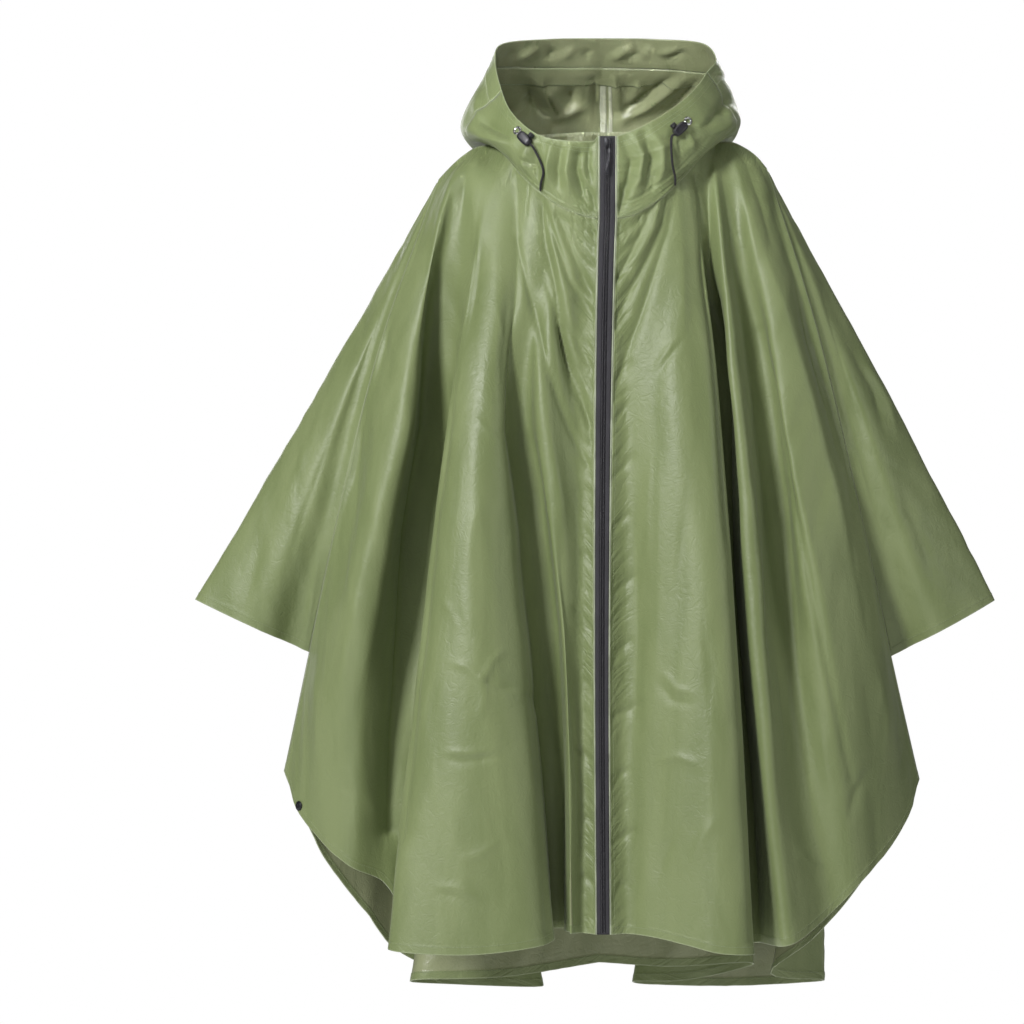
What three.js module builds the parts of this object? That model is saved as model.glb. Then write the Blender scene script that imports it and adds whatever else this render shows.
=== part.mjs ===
// Hooded rain poncho with a full-length front zip, filled out as when worn, the hood lying back.
// Millimetres, +Z up, the front faces -Y. The origin lies between the shoulders, at the base of the neck.
// "Right" and "left" are the wearer's, so the right side is at -X.
import * as THREE from 'three';

// Cloth and seams
const CLOTH = 1.2; // thickness of every cloth wall
const SEAM_GAP = 0.3; // between two pieces that are sewn together
const TIP_GAP = 1.2; // by which a piece that ends in a point stops short of it
const COLUMNS_PER_FOLD = 2; // steps across from one fold line to the next

// Colours and finishes
const OLIVE = { color: 0x8b9a68, roughness: 0.48, metalness: 0 };
const OLIVE_DARK = { color: 0x6f7a52, roughness: 0.5, metalness: 0 };
const PIPING_PALE = { color: 0xb0b59e, roughness: 0.6, metalness: 0 };
const ZIP_BLACK = { color: 0x2b2a30, roughness: 0.62, metalness: 0 };
const COIL_BLACK = { color: 0x1f1e24, roughness: 0.4, metalness: 0 };
const METAL_DARK = { color: 0x3a3a40, roughness: 0.3, metalness: 0.8 };
const METAL_BRIGHT = { color: 0xb9bab6, roughness: 0.25, metalness: 1 };
const PLASTIC_BLACK = { color: 0x1e1c26, roughness: 0.45, metalness: 0 };

// Turns rows of values into records with named columns.
const table = (columns, rows) =>
  rows.map((row) => Object.fromEntries(columns.map((column, i) => [column, row[i]])));

const point = (row) => new THREE.Vector3(row.x, row.y, row.z);

// The neck seam, from the zip round one side to the centre back, a row for each fold line that starts there.
const NECK_FRONT_FOLDS = 8;
const NECK_BACK_FOLDS = 8;
const SEAM_COLUMNS = ['x', 'y', 'z'];
const NECK_SEAM = {
  right: table(SEAM_COLUMNS, [
    [-9, -105, -91], [-28, -103, -87], [-50, -99, -78], [-70, -91, -65], [-88, -81, -50],
    [-105, -67, -33], [-119, -50, -14], [-129, -30, -2], [-138, -4, 6],
    [-134, 20, 12], [-120, 40, 17], [-102, 53, 20], [-82, 60, 23],
    [-62, 64, 25], [-42, 67, 26], [-21, 68, 27], [0, 68, 27],
  ]),
  left: table(SEAM_COLUMNS, [
    [14, -105, -91], [33, -103, -87], [54, -98, -76], [74, -90, -61], [91, -79, -44],
    [106, -65, -27], [119, -48, -10], [129, -28, 1], [138, -4, 10],
    [134, 20, 14], [120, 40, 18], [102, 53, 21], [82, 60, 24],
    [62, 64, 25], [42, 67, 26], [21, 68, 27], [0, 68, 27],
  ]),
};

// The top of the shoulder, from the neck seam to the head of the sleeve.
const SHOULDER_FOLDS = 5;
const SHOULDER = {
  right: table(SEAM_COLUMNS, [
    [-138, -4, 6], [-157, 0, 4], [-174, 3, -6], [-190, 4, -20], [-205, 5, -36],
  ]),
  left: table(SEAM_COLUMNS, [
    [138, -4, 10], [158, 0, 10], [175, 3, 3], [190, 4, -8], [202, 5, -22],
  ]),
};

// How far down its fold line each station lies, from the seam it hangs from (0) to the hem (1).
const STATIONS = { top: 0, over: 0.06, upper: 0.28, lower: 0.62, hem: 1 };
const DOWN_STEPS = [0, 0.025, 0.06, 0.11, 0.18, 0.26, 0.35, 0.44, 0.53, 0.62, 0.71, 0.8, 0.87, 0.94, 1];
const UNDERARM = 0.8; // where the sleeve ends and the side seam starts, down the armhole line

// Fold lines, a row each. The first starts at the neck seam beside the zip or at the centre back,
// and the last is the one before the armhole line. x and y are where the line passes each station.
const FOLD_COLUMNS = [
  'fold', 'zHem', 'xOver', 'yOver', 'xUpper', 'yUpper', 'xLower', 'yLower', 'xHem', 'yHem',
];
const FRONT_FOLDS = {
  right: table(FOLD_COLUMNS, [
    ['zip edge', -960, -11, -108, -14, -120, -15, -136, -13, -150],
    ['dip beside the zip', -959, -26, -105, -31, -115, -31, -128, -29, -141],
    ['ridge', -958, -51, -102, -78, -128, -49, -150, -44, -162],
    ['valley', -957, -73, -95, -98, -110, -77, -110, -62, -104],
    ['broad pleat, inner flank', -968, -92, -88, -120, -136, -104, -168, -72, -196],
    ['broad pleat, crest', -979, -112, -79, -150, -143, -166, -192, -165, -216],
    ['broad pleat, outer edge', -975, -143, -67, -183, -116, -225, -152, -262, -190],
    ['tuck, front face', -966, -153, -58, -174, -82, -204, -98, -236, -122],
    ['tuck, bottom', -948, -166, -48, -188, -44, -220, -24, -246, -44],
    ['side panel, inner edge', -905, -183, -42, -208, -48, -248, -44, -272, -44],
    ['side panel, inner ridge', -885, -194, -40, -230, -78, -288, -90, -310, -68],
    ['side panel, crest', -857, -202, -32, -246, -73, -316, -84, -346, -48],
    ['side panel, dip', -820, -210, -26, -262, -58, -328, -58, -378, -18],
  ]),
  left: table(FOLD_COLUMNS, [
    ['zip edge', -960, 12, -108, 8, -120, 5, -136, 6, -150],
    ['dip beside the zip', -960, 29, -106, 26, -115, 23, -127, 25, -140],
    ['front panel, inner', -962, 54, -101, 55, -126, 55, -144, 54, -158],
    ['front panel, middle', -970, 77, -94, 84, -137, 92, -166, 95, -184],
    ['front panel, crest', -979, 95, -84, 110, -133, 128, -176, 136, -200],
    ['front panel, outer edge', -981, 111, -71, 134, -120, 157, -160, 175, -186],
    ['tuck, front face', -977, 117, -58, 130, -82, 149, -96, 168, -132],
    ['tuck, bottom', -974, 126, -48, 141, -50, 161, -50, 182, -96],
    ['narrow ridge', -972, 138, -54, 156, -94, 178, -132, 222, -160],
    ['valley', -940, 157, -41, 186, -68, 218, -84, 272, -108],
    ['side panel, ridge', -905, 173, -38, 205, -84, 254, -112, 308, -98],
    ['side panel, crest', -862, 188, -34, 231, -75, 303, -82, 350, -54],
    ['side panel, dip', -824, 204, -26, 254, -55, 320, -58, 376, -18],
  ]),
};
const BACK_FOLDS = {
  right: table(FOLD_COLUMNS, [
    ['centre back', -1020, 0, 84, 0, 118, -2, 134, -4, 138],
    ['inner layer', -1038, -20, 85, -46, 124, -80, 142, -122, 132],
    ['inner layer, edge', -1041, -36, 86, -82, 128, -150, 140, -234, 122],
    ['first turn', -1046, -50, 88, -99, 136, -166, 156, -243, 148],
    ['middle layer', -1053, -62, 90, -108, 147, -152, 178, -156, 174],
    ['middle layer, edge', -1056, -76, 90, -118, 156, -140, 198, -76, 190],
    ['second turn', -1054, -92, 89, -138, 161, -152, 215, -82, 216],
    ['outer layer', -1046, -114, 86, -174, 158, -208, 208, -182, 220],
    ['outer crest', -1008, -142, 74, -213, 144, -260, 180, -262, 184],
    ['side, fullness', -962, -159, 64, -233, 130, -290, 154, -296, 144],
    ['side, slope', -915, -173, 56, -246, 115, -309, 128, -331, 110],
    ['side, turn', -868, -187, 48, -257, 100, -322, 102, -358, 78],
    ['side, edge', -818, -204, 39, -267, 80, -331, 76, -380, 46],
  ]),
  left: table(FOLD_COLUMNS, [
    ['centre back', -1020, 0, 84, 0, 118, -2, 134, -4, 138],
    ['inner layer', -1025, 20, 85, 42, 124, 74, 140, 92, 132],
    ['inner layer, edge', -1019, 36, 86, 80, 128, 132, 140, 184, 122],
    ['first turn', -1024, 50, 88, 98, 136, 146, 155, 192, 144],
    ['middle layer', -1046, 62, 90, 106, 147, 130, 176, 108, 170],
    ['middle layer, edge', -1049, 76, 90, 117, 156, 114, 194, 42, 184],
    ['second turn', -1054, 92, 89, 137, 161, 124, 212, 48, 210],
    ['outer layer', -1058, 114, 86, 172, 156, 190, 208, 165, 218],
    ['outer crest', -1051, 142, 74, 209, 144, 250, 184, 274, 202],
    ['side, outer turn', -1046, 159, 64, 229, 130, 274, 162, 284, 174],
    ['side, inner turn', -1035, 173, 56, 240, 115, 284, 138, 214, 140],
    ['side, slope', -985, 186, 48, 249, 100, 300, 114, 270, 112],
    ['side, edge', -880, 202, 39, 257, 80, 317, 80, 346, 58],
  ]),
};

// The armhole line, which goes on below the sleeve as the side seam.
const ARMHOLE_COLUMNS = ['zHem', 'xOver', 'xUpper', 'xLower', 'xHem', 'yMiddle', 'yHem'];
const ARMHOLE = {
  right: table(ARMHOLE_COLUMNS, [[-771, -220, -276, -337, -397, 8, 15]])[0],
  left: table(ARMHOLE_COLUMNS, [[-781, 216, 265, 325, 392, 8, 15]])[0],
};
const ARMHOLE_HALF_DEPTH = 46; // from its middle to the front or the back panel
const ARMHOLE_SQUARENESS = 3; // the power of its arch: the higher, the squarer
const ARMHOLE_OPENS = 0.25; // the first stretch down, over which it opens
const UNDERARM_HALF_DEPTH = 4; // left at the underarm, where front and back come together
const SIDE_SEAM_CLOSE = 0.07; // the further stretch down over which they meet

// Sleeves: the point of the cuff, and the section, a row each from the armhole to the folded top edge.
const SLEEVE_POINT = { right: new THREE.Vector3(-507, 12, -558), left: new THREE.Vector3(487, 12, -558) };
const SLEEVE_TOP_SAG = { right: 2, left: -3 }; // by which the top edge hangs inside the straight line
const CUFF_HALF_DEPTH = 30; // the cuff's opening, at its widest
const SLEEVE_SECTION = table(['across', 'lens', 'crease'], [
  [0, 0, 0], [0.16, 0.42, -9], [0.42, 0.95, 3], [0.74, 0.86, -2], [1, 0, 0],
]);

// The hood, from the edge of its mouth (rim) over the crown and the folded keel to the neck seam.
// A row for each place along the neck seam, counted in folds from the zip (0) to the centre back (16).
const HOOD_COLUMNS = [
  'at', 'xRim', 'yRim', 'zRim', 'xBand', 'yBand', 'zBand',
  'xCrown', 'yCrown', 'zCrown', 'xKeel', 'yKeel', 'zKeel',
];
const HOOD = {
  right: table(HOOD_COLUMNS, [
    [0, -9, -106, 9, -9, -107, -14, -9, -107, -40, -9, -106, -66],
    [2, -38, -106, 9, -40, -107, -12, -44, -106, -36, -48, -102, -58],
    [4, -72, -97, 14, -77, -98, 0, -84, -96, -18, -88, -89, -36],
    [6, -103, -76, 29, -112, -76, 17, -127, -72, 4, -128, -62, -6],
    [7, -117, -56, 46, -129, -52, 35, -151, -44, 17, -148, -34, 8],
    [8, -127, -28, 72, -141, -20, 57, -172, -12, 25, -165, 0, 13],
    [10, -135, 14, 112, -146, 26, 96, -177, 42, 32, -158, 44, 2],
    [12, -129, 48, 135, -136, 68, 108, -150, 104, 44, -128, 92, -24],
    [14, -67, 86, 146, -70, 108, 112, -80, 156, 48, -68, 126, -48],
    [16, 0, 97, 148, 0, 120, 113, 0, 172, 48, 0, 138, -58],
  ]),
  left: table(HOOD_COLUMNS, [
    [0, 14, -106, 9, 14, -107, -14, 14, -107, -40, 14, -106, -66],
    [2, 42, -104, 20, 44, -105, -4, 49, -104, -30, 53, -100, -54],
    [4, 70, -95, 36, 76, -96, 18, 86, -94, -8, 92, -86, -30],
    [6, 98, -74, 58, 108, -74, 42, 126, -70, 16, 129, -58, -2],
    [7, 114, -54, 75, 125, -50, 60, 147, -42, 28, 147, -32, 12],
    [8, 127, -30, 94, 138, -22, 78, 164, -12, 36, 160, 0, 18],
    [10, 140, 14, 114, 149, 26, 98, 170, 42, 36, 154, 44, 8],
    [12, 127, 48, 136, 138, 68, 101, 148, 104, 44, 128, 92, -22],
    [14, 66, 86, 146, 70, 108, 110, 80, 156, 48, 68, 126, -48],
    [16, 0, 97, 148, 0, 120, 113, 0, 172, 48, 0, 138, -58],
  ]),
};
const HOOD_DOWN_STEPS = [0, 0.125, 0.25, 0.36, 0.48, 0.6, 0.74, 0.88, 1];
const BRIM_STARTS = 8; // the brim is a piece of its own from the side of the neck round the back
const BRIM_DEPTH_STEPS = 2; // rows of the hood that the brim takes up

// The zip, as shares of the width between the two front edges
const ZIP_STRIPS = table(['name', 'from', 'to', 'thickness', 'finish'], [
  ['zip_piping_right', 0, 0.13, 1.6, PIPING_PALE],
  ['zip_tape_right', 0.13, 0.36, 1.0, ZIP_BLACK],
  ['zip_coil', 0.36, 0.64, 2.2, COIL_BLACK],
  ['zip_tape_left', 0.64, 0.87, 1.0, ZIP_BLACK],
  ['zip_piping_left', 0.87, 1, 1.6, PIPING_PALE],
]);
const SLIDER = { width: 10, height: 13, depth: 3.6, corner: 2.2, z: 1, stand: 1.3 };
const BRIDGE = { width: 1.8, height: 10, rise: 3.7, thickness: 1.2, foot: 0.3 };
const TAB = {
  width: 7, length: 40, thickness: 1.4, bar: 1.4, slotWidth: 2.8, slotLength: 9, corner: 2.4, shoulder: 1,
};
const CURVE_STEPS = 4; // steps round a corner of a small fitting

// Draw cord, eyelets and cord locks: at counts fold lines along the neck seam, down goes from rim to seam
const EYELET = { outer: 5.6, inner: 2.6, rise: 1.3, stand: 0.5, sides: 18 };
const EYELET_AT = { right: { at: 5.8, down: 0.2 }, left: { at: 5.3, down: 0.3 } };
const LOCK = { length: 20, width: 12, depth: 9, corner: 3.5, edge: 1.2, lead: 8 };
const LOCK_TOWARDS = {
  right: { at: 3.7, down: 0.42, stand: 2.6 },
  left: { at: 3.4, down: 0.36, stand: 2.2 },
};
const BUTTON = { radius: 3.9, length: 5, sides: 12, up: 4 };
const CORD = { radius: 1.5, sides: 8, steps: 12, lead: 5 };
// Where the cord passes over the bib on its way to the seam, and how far its middle stands off it.
const CORD_OVER = table(['down', 'stand'], [[0.6, 4.76], [0.8, 4.08], [0.95, 3.57]]);
const CORD_END_AT = { right: 3.4, left: 3.5 };

// Snap at the hem near the right side seam
const SNAP = { radius: 6, crown: 4.2, rise: 2.2, stand: 0.8, sides: 16, up: 8, fold: 12 };

const smooth = (share) => {
  const s = Math.min(Math.max(share, 0), 1);
  return s * s * (3 - 2 * s);
};

// A smooth line through points, read by share: points are evenly shared from 0 to 1.
const through = (points) => new THREE.CatmullRomCurve3(points, false, 'centripetal');

// A smooth line through points that lie at the given shares.
function lineAt(points, shares) {
  const curve = through(points);
  return (share) => {
    let i = 1;
    while (i < shares.length - 1 && share > shares[i]) i += 1;
    const step = (share - shares[i - 1]) / (shares[i] - shares[i - 1]);
    return curve.getPoint((i - 1 + step) / (shares.length - 1));
  };
}

const STATION_SHARES = Object.values(STATIONS);

// One fold line: where it starts, then its row's stations down to the hem.
function foldLine(start, row) {
  const level = (share) => start.z + (row.zHem - start.z) * share;
  const points = [
    start,
    new THREE.Vector3(row.xOver, row.yOver, level(STATIONS.over)),
    new THREE.Vector3(row.xUpper, row.yUpper, level(STATIONS.upper)),
    new THREE.Vector3(row.xLower, row.yLower, level(STATIONS.lower)),
    new THREE.Vector3(row.xHem, row.yHem, row.zHem),
  ];
  return lineAt(points, STATION_SHARES);
}

// Half the depth of the armhole: nought at the shoulder, widest halfway, nearly closed at the underarm.
function armholeHalfDepth(share) {
  const along = share / UNDERARM;
  const arch = Math.max(0, 1 - Math.abs(2 * along - 1) ** ARMHOLE_SQUARENESS);
  const closing = 1 - smooth((share - UNDERARM) / SIDE_SEAM_CLOSE);
  return ARMHOLE_HALF_DEPTH * arch + UNDERARM_HALF_DEPTH * closing * smooth(along / ARMHOLE_OPENS);
}

// The armhole line of the front (face -1) or of the back (face 1).
function armholeLine(side, face) {
  const row = ARMHOLE[side];
  const start = shoulder(side)(1);
  const middle = foldLine(start, {
    ...row, yOver: row.yMiddle, yUpper: row.yMiddle, yLower: row.yMiddle,
  });
  return (share) => {
    const p = middle(share);
    p.y += face * armholeHalfDepth(share);
    return p;
  };
}

const neckSeam = (side) => through(NECK_SEAM[side].map(point));
const shoulder = (side) => {
  const curve = through(SHOULDER[side].map(point));
  return (share) => curve.getPoint(share);
};

// The seam that a panel hangs from: the neck seam over its first folds, then the shoulder.
function topSeam(side, neckStart, neckEnd) {
  const neck = neckSeam(side);
  const last = NECK_SEAM[side].length - 1;
  const folds = Math.abs(neckEnd - neckStart);
  const overShoulder = shoulder(side);
  return (fold) => (fold <= folds
    ? neck.getPoint((neckStart + (fold / folds) * (neckEnd - neckStart)) / last)
    : overShoulder((fold - folds) / SHOULDER_FOLDS));
}

// A panel as rows of points from its top seam to its hem, columns from its first fold to the armhole.
function panel(rows, armhole, seam) {
  const folds = rows.length;
  const lines = rows.map((row, i) => foldLine(seam(i), row));
  lines.push(armhole);
  return DOWN_STEPS.map((share) => {
    const ring = through(lines.map((line) => line(share)));
    const across = [];
    for (let c = 0; c <= folds * COLUMNS_PER_FOLD; c += 1) {
      const fold = c / COLUMNS_PER_FOLD;
      across.push(share === 0 ? seam(fold) : ring.getPoint(fold / folds));
    }
    across[across.length - 1] = armhole(share);
    return across;
  });
}

const frontPanel = (side) => panel(
  FRONT_FOLDS[side], armholeLine(side, -1), topSeam(side, 0, NECK_FRONT_FOLDS),
);
const backHalf = (side) => panel(
  BACK_FOLDS[side],
  armholeLine(side, 1),
  topSeam(side, NECK_FRONT_FOLDS + NECK_BACK_FOLDS, NECK_FRONT_FOLDS),
);

// The sleeve round its section, from the front armhole over the folded top edge to the back armhole.
function sleeve(side) {
  const front = armholeLine(side, -1);
  const back = armholeLine(side, 1);
  const head = shoulder(side)(1);
  const outward = Math.sign(head.x);
  const half = SLEEVE_SECTION.length - 1;
  return DOWN_STEPS.filter((share) => share <= UNDERARM).map((share) => {
    const along = share / UNDERARM;
    const edge = head.clone().lerp(SLEEVE_POINT[side], along);
    edge.x -= outward * SLEEVE_TOP_SAG[side] * Math.sin(Math.PI * along);
    const wall = (from, face) => SLEEVE_SECTION.map((row) => {
      const p = from.clone().lerp(edge, row.across);
      p.y += face * (row.lens * CUFF_HALF_DEPTH + row.crease) * along;
      return p;
    });
    const section = [...wall(front(share), -1), ...wall(back(share), 1).reverse().slice(1)];
    const ring = through(section);
    const steps = 2 * half * COLUMNS_PER_FOLD;
    const points = [];
    for (let c = 0; c <= steps; c += 1) {
      points.push(share === 0 ? head.clone() : ring.getPoint(c / steps));
    }
    points[0] = front(share);
    points[steps] = back(share);
    return points;
  });
}

// The hood's surface on one side: at runs along the neck seam in folds, down from the rim to the seam.
function hoodSurface(side) {
  const rows = HOOD[side];
  const seam = neckSeam(side);
  const folds = NECK_SEAM[side].length - 1;
  const shares = rows.map((row) => row.at / folds);
  const lines = ['Rim', 'Band', 'Crown', 'Keel'].map((part) => lineAt(
    rows.map((row) => new THREE.Vector3(row[`x${part}`], row[`y${part}`], row[`z${part}`])),
    shares,
  ));
  return (at, down) => {
    const share = at / folds;
    return through([...lines.map((line) => line(share)), seam.getPoint(share)]).getPoint(down);
  };
}

// Half the hood, from its rim to the neck seam, columns from the zip to the centre back.
function hoodHalf(side) {
  const surface = hoodSurface(side);
  const columns = (NECK_SEAM[side].length - 1) * COLUMNS_PER_FOLD;
  return HOOD_DOWN_STEPS.map((down) => Array.from(
    { length: columns + 1 }, (_, c) => surface(c / COLUMNS_PER_FOLD, down),
  ));
}

const flipped = (grid) => grid.map((row) => [...row].reverse());

// The outward normal of each point of a grid, from the faces round it.
function gridNormals(grid) {
  const normals = grid.map((row) => row.map(() => new THREE.Vector3()));
  for (let r = 0; r + 1 < grid.length; r += 1) {
    for (let c = 0; c + 1 < grid[r].length; c += 1) {
      const down = grid[r + 1][c + 1].clone().sub(grid[r][c]);
      const up = grid[r][c + 1].clone().sub(grid[r + 1][c]);
      const face = up.cross(down);
      for (const [i, j] of [[r, c], [r + 1, c], [r, c + 1], [r + 1, c + 1]]) normals[i][j].add(face);
    }
  }
  return normals;
}

// The name of a place, the same for points that agree to the given number of decimals.
const SEWN_DECIMALS = 2;
const VERTEX_DECIMALS = 4;
const placeName = (p, decimals) => [p.x, p.y, p.z].map((value) => value.toFixed(decimals)).join(' ');

// Pieces that are sewn edge to edge share their normals, so that their walls meet without crossing.
function sharedNormals(pieces) {
  const sums = new Map();
  const own = pieces.map((piece) => gridNormals(piece.grid));
  const label = (piece, r) => (piece.ownLastRow && r === piece.grid.length - 1 ? piece.name : '');
  pieces.forEach((piece, k) => piece.grid.forEach((row, r) => row.forEach((p, c) => {
    const at = label(piece, r) + placeName(p, SEWN_DECIMALS);
    if (!sums.has(at)) sums.set(at, new THREE.Vector3());
    sums.get(at).add(own[k][r][c]);
  })));
  return pieces.map((piece) => piece.grid.map((row, r) => row.map(
    (p) => sums.get(label(piece, r) + placeName(p, SEWN_DECIMALS)).clone().normalize(),
  )));
}

// The piece's edge points, drawn in along the cloth by half the seam's gap.
function drawnIn(grid, inside, tip) {
  const rows = grid.length;
  const columns = grid[0].length;
  const used = (r, c) => r >= 0 && c >= 0 && r < rows - 1 && c < columns - 1 && inside(r, c);
  const has = (r, c, steps) => steps.some(([i, j]) => used(r + i, c + j));
  return grid.map((row, r) => row.map((p, c) => {
    const moved = p.clone();
    const pull = (i, j) => {
      const towards = grid[r + i][c + j].clone().sub(p);
      if (towards.length() > SEAM_GAP) moved.addScaledVector(towards.normalize(), SEAM_GAP / 2);
    };
    const above = has(r, c, [[-1, -1], [-1, 0]]);
    const below = has(r, c, [[0, -1], [0, 0]]);
    const before = has(r, c, [[-1, -1], [0, -1]]);
    const after = has(r, c, [[-1, 0], [0, 0]]);
    if (tip && r === 0) {
      const middle = (columns - 1) / 2;
      return p.clone().addScaledVector(grid[1][middle].clone().sub(p).normalize(), TIP_GAP);
    }
    if (above && !below) pull(-1, 0);
    if (below && !above) pull(1, 0);
    if (before && !after) pull(0, -1);
    if (after && !before) pull(0, 1);
    return moved;
  }));
}

// A closed cloth wall on a grid of outer points, over the cells that the piece covers.
function wallGeometry(grid, normals, thickness, inside, tip) {
  const outer = drawnIn(grid, inside, tip);
  const positions = [];
  const index = [];
  const seen = new Map();
  const vertex = (p) => {
    const at = placeName(p, VERTEX_DECIMALS);
    if (!seen.has(at)) {
      seen.set(at, positions.length / 3);
      positions.push(p.x, p.y, p.z);
    }
    return seen.get(at);
  };
  const ids = outer.map((row, r) => row.map((p, c) => ({
    out: () => vertex(p),
    in: () => vertex(p.clone().addScaledVector(normals[r][c], -thickness)),
  })));
  const triangle = (a, b, c) => {
    if (a !== b && b !== c && c !== a) index.push(a, b, c);
  };
  const quad = (a, b, c, d) => {
    triangle(a, b, c);
    triangle(a, c, d);
  };
  const rows = grid.length - 1;
  const columns = grid[0].length - 1;
  const used = (r, c) => r >= 0 && c >= 0 && r < rows && c < columns && inside(r, c);
  const rim = (p, q) => quad(p.out(), q.out(), q.in(), p.in());
  for (let r = 0; r < rows; r += 1) {
    for (let c = 0; c < columns; c += 1) {
      if (!used(r, c)) continue;
      const [a, b, d, e] = [ids[r][c], ids[r + 1][c], ids[r + 1][c + 1], ids[r][c + 1]];
      quad(a.out(), e.out(), d.out(), b.out());
      quad(a.in(), b.in(), d.in(), e.in());
      if (!used(r, c - 1)) rim(a, b);
      if (!used(r + 1, c)) rim(b, d);
      if (!used(r, c + 1)) rim(d, e);
      if (!used(r - 1, c)) rim(e, a);
    }
  }
  const geometry = new THREE.BufferGeometry();
  geometry.setAttribute('position', new THREE.Float32BufferAttribute(positions, 3));
  geometry.setIndex(index);
  return geometry;
}

const group = new THREE.Group();

function add(name, geometry, finish) {
  const mesh = new THREE.Mesh(geometry, new THREE.MeshStandardMaterial(finish));
  mesh.name = name;
  group.add(mesh);
  return mesh;
}

// Cloth pieces
const everywhere = () => true;
const fronts = { right: frontPanel('right'), left: frontPanel('left') };
const backs = { right: backHalf('right'), left: backHalf('left') };
const hoods = { right: hoodHalf('right'), left: hoodHalf('left') };
const wholeBack = backs.right.map((row, r) => [...flipped([row])[0], ...backs.left[r].slice(1)]);
const wholeHood = hoods.right.map((row, r) => [...row, ...flipped([hoods.left[r]])[0].slice(1)]);
const brimFrom = BRIM_STARTS * COLUMNS_PER_FOLD;
const brimTo = wholeHood[0].length - 1 - brimFrom;
const centreBack = (wholeHood[0].length - 1) / 2;
const isBrim = (r, c) => r < BRIM_DEPTH_STEPS && c >= brimFrom && c < brimTo;

// The zip lies between the front edges of the hood and, below the neck seam, of the front panels.
const zipEdge = (side) => [
  ...hoods[side].slice(0, -1).map((row) => row[0]),
  ...fronts[side].map((row) => row[0]),
];
const zipEdges = { right: zipEdge('right'), left: zipEdge('left') };
const zipGrid = (from, to) => zipEdges.right.map((p, r) => [to, from].map(
  (share) => p.clone().lerp(zipEdges.left[r], share),
));

const cloth = [
  { name: 'front_right', grid: fronts.right, finish: OLIVE },
  { name: 'front_left', grid: flipped(fronts.left), finish: OLIVE },
  { name: 'back', grid: wholeBack, finish: OLIVE },
  { name: 'sleeve_right', grid: sleeve('right'), finish: OLIVE, tip: true },
  { name: 'sleeve_left', grid: flipped(sleeve('left')), finish: OLIVE, tip: true },
  {
    name: 'hood_right', grid: wholeHood, finish: OLIVE, ownLastRow: true,
    inside: (r, c) => c < centreBack && !isBrim(r, c),
  },
  {
    name: 'hood_left', grid: wholeHood, finish: OLIVE, ownLastRow: true,
    inside: (r, c) => c >= centreBack && !isBrim(r, c),
  },
  { name: 'hood_brim', grid: wholeHood, finish: OLIVE_DARK, ownLastRow: true, inside: isBrim },
  ...ZIP_STRIPS.map((strip) => ({
    name: strip.name,
    grid: zipGrid(strip.from, strip.to),
    finish: strip.finish,
    thickness: strip.thickness,
  })),
];
const clothNormals = sharedNormals(cloth);
cloth.forEach(({ name, grid, finish, thickness = CLOTH, inside = everywhere, tip = false }, k) => add(
  name, wallGeometry(grid, clothNormals[k], thickness, inside, tip), finish,
));

// A matrix with Z along the normal and Y as near as it can be to the given direction, at a point.
function facing(place, normal, along) {
  const z = normal.clone().normalize();
  const x = along.clone().cross(z).normalize();
  const y = z.clone().cross(x);
  return new THREE.Matrix4().makeBasis(x, y, z).setPosition(place);
}

// A place on the hood, with the outward normal there and the way down the cloth.
function onHood(side, at, down) {
  const step = 0.01;
  const surface = hoodSurface(side);
  const place = surface(at, down);
  const below = surface(at, down + step).sub(place).normalize();
  const beside = surface(at + step, down).sub(place).normalize();
  const normal = beside.cross(below).normalize();
  return { place, below, normal: side === 'left' ? normal.negate() : normal };
}

function roundedRectangle(width, height, corner) {
  const [w, h, c] = [width / 2, height / 2, corner];
  const shape = new THREE.Shape();
  shape.moveTo(-w + c, -h);
  shape.lineTo(w - c, -h);
  shape.absarc(w - c, -h + c, c, -Math.PI / 2, 0);
  shape.lineTo(w, h - c);
  shape.absarc(w - c, h - c, c, 0, Math.PI / 2);
  shape.lineTo(-w + c, h);
  shape.absarc(-w + c, h - c, c, Math.PI / 2, Math.PI);
  shape.lineTo(-w, -h + c);
  shape.absarc(-w + c, -h + c, c, Math.PI, 1.5 * Math.PI);
  return shape;
}

const plate = (shape, depth) => new THREE.ExtrudeGeometry(
  shape, { depth, bevelEnabled: false, curveSegments: CURVE_STEPS },
);

// A turned solid with its axis along Z, from the radii and heights of its closed outline.
const turned = (outline, sides) => new THREE.LatheGeometry(
  outline.map(([radius, height]) => new THREE.Vector2(radius, height)), sides,
).rotateX(Math.PI / 2);

// Zip slider on the teeth, its bridge, and the pull tab that hangs from the bridge
const topRight = zipEdges.right[0];
const topLeft = zipEdges.left[0];
const sliderX = (topRight.x + topLeft.x) / 2;
const sliderBack = topRight.y - SLIDER.stand;
const sliderFace = sliderBack - SLIDER.depth;
const upright = (geometry, y) => geometry.rotateX(Math.PI / 2).translate(sliderX, y, SLIDER.z);

add('zip_slider', upright(
  plate(roundedRectangle(SLIDER.width, SLIDER.height, SLIDER.corner), SLIDER.depth), sliderBack,
), METAL_DARK);

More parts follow.
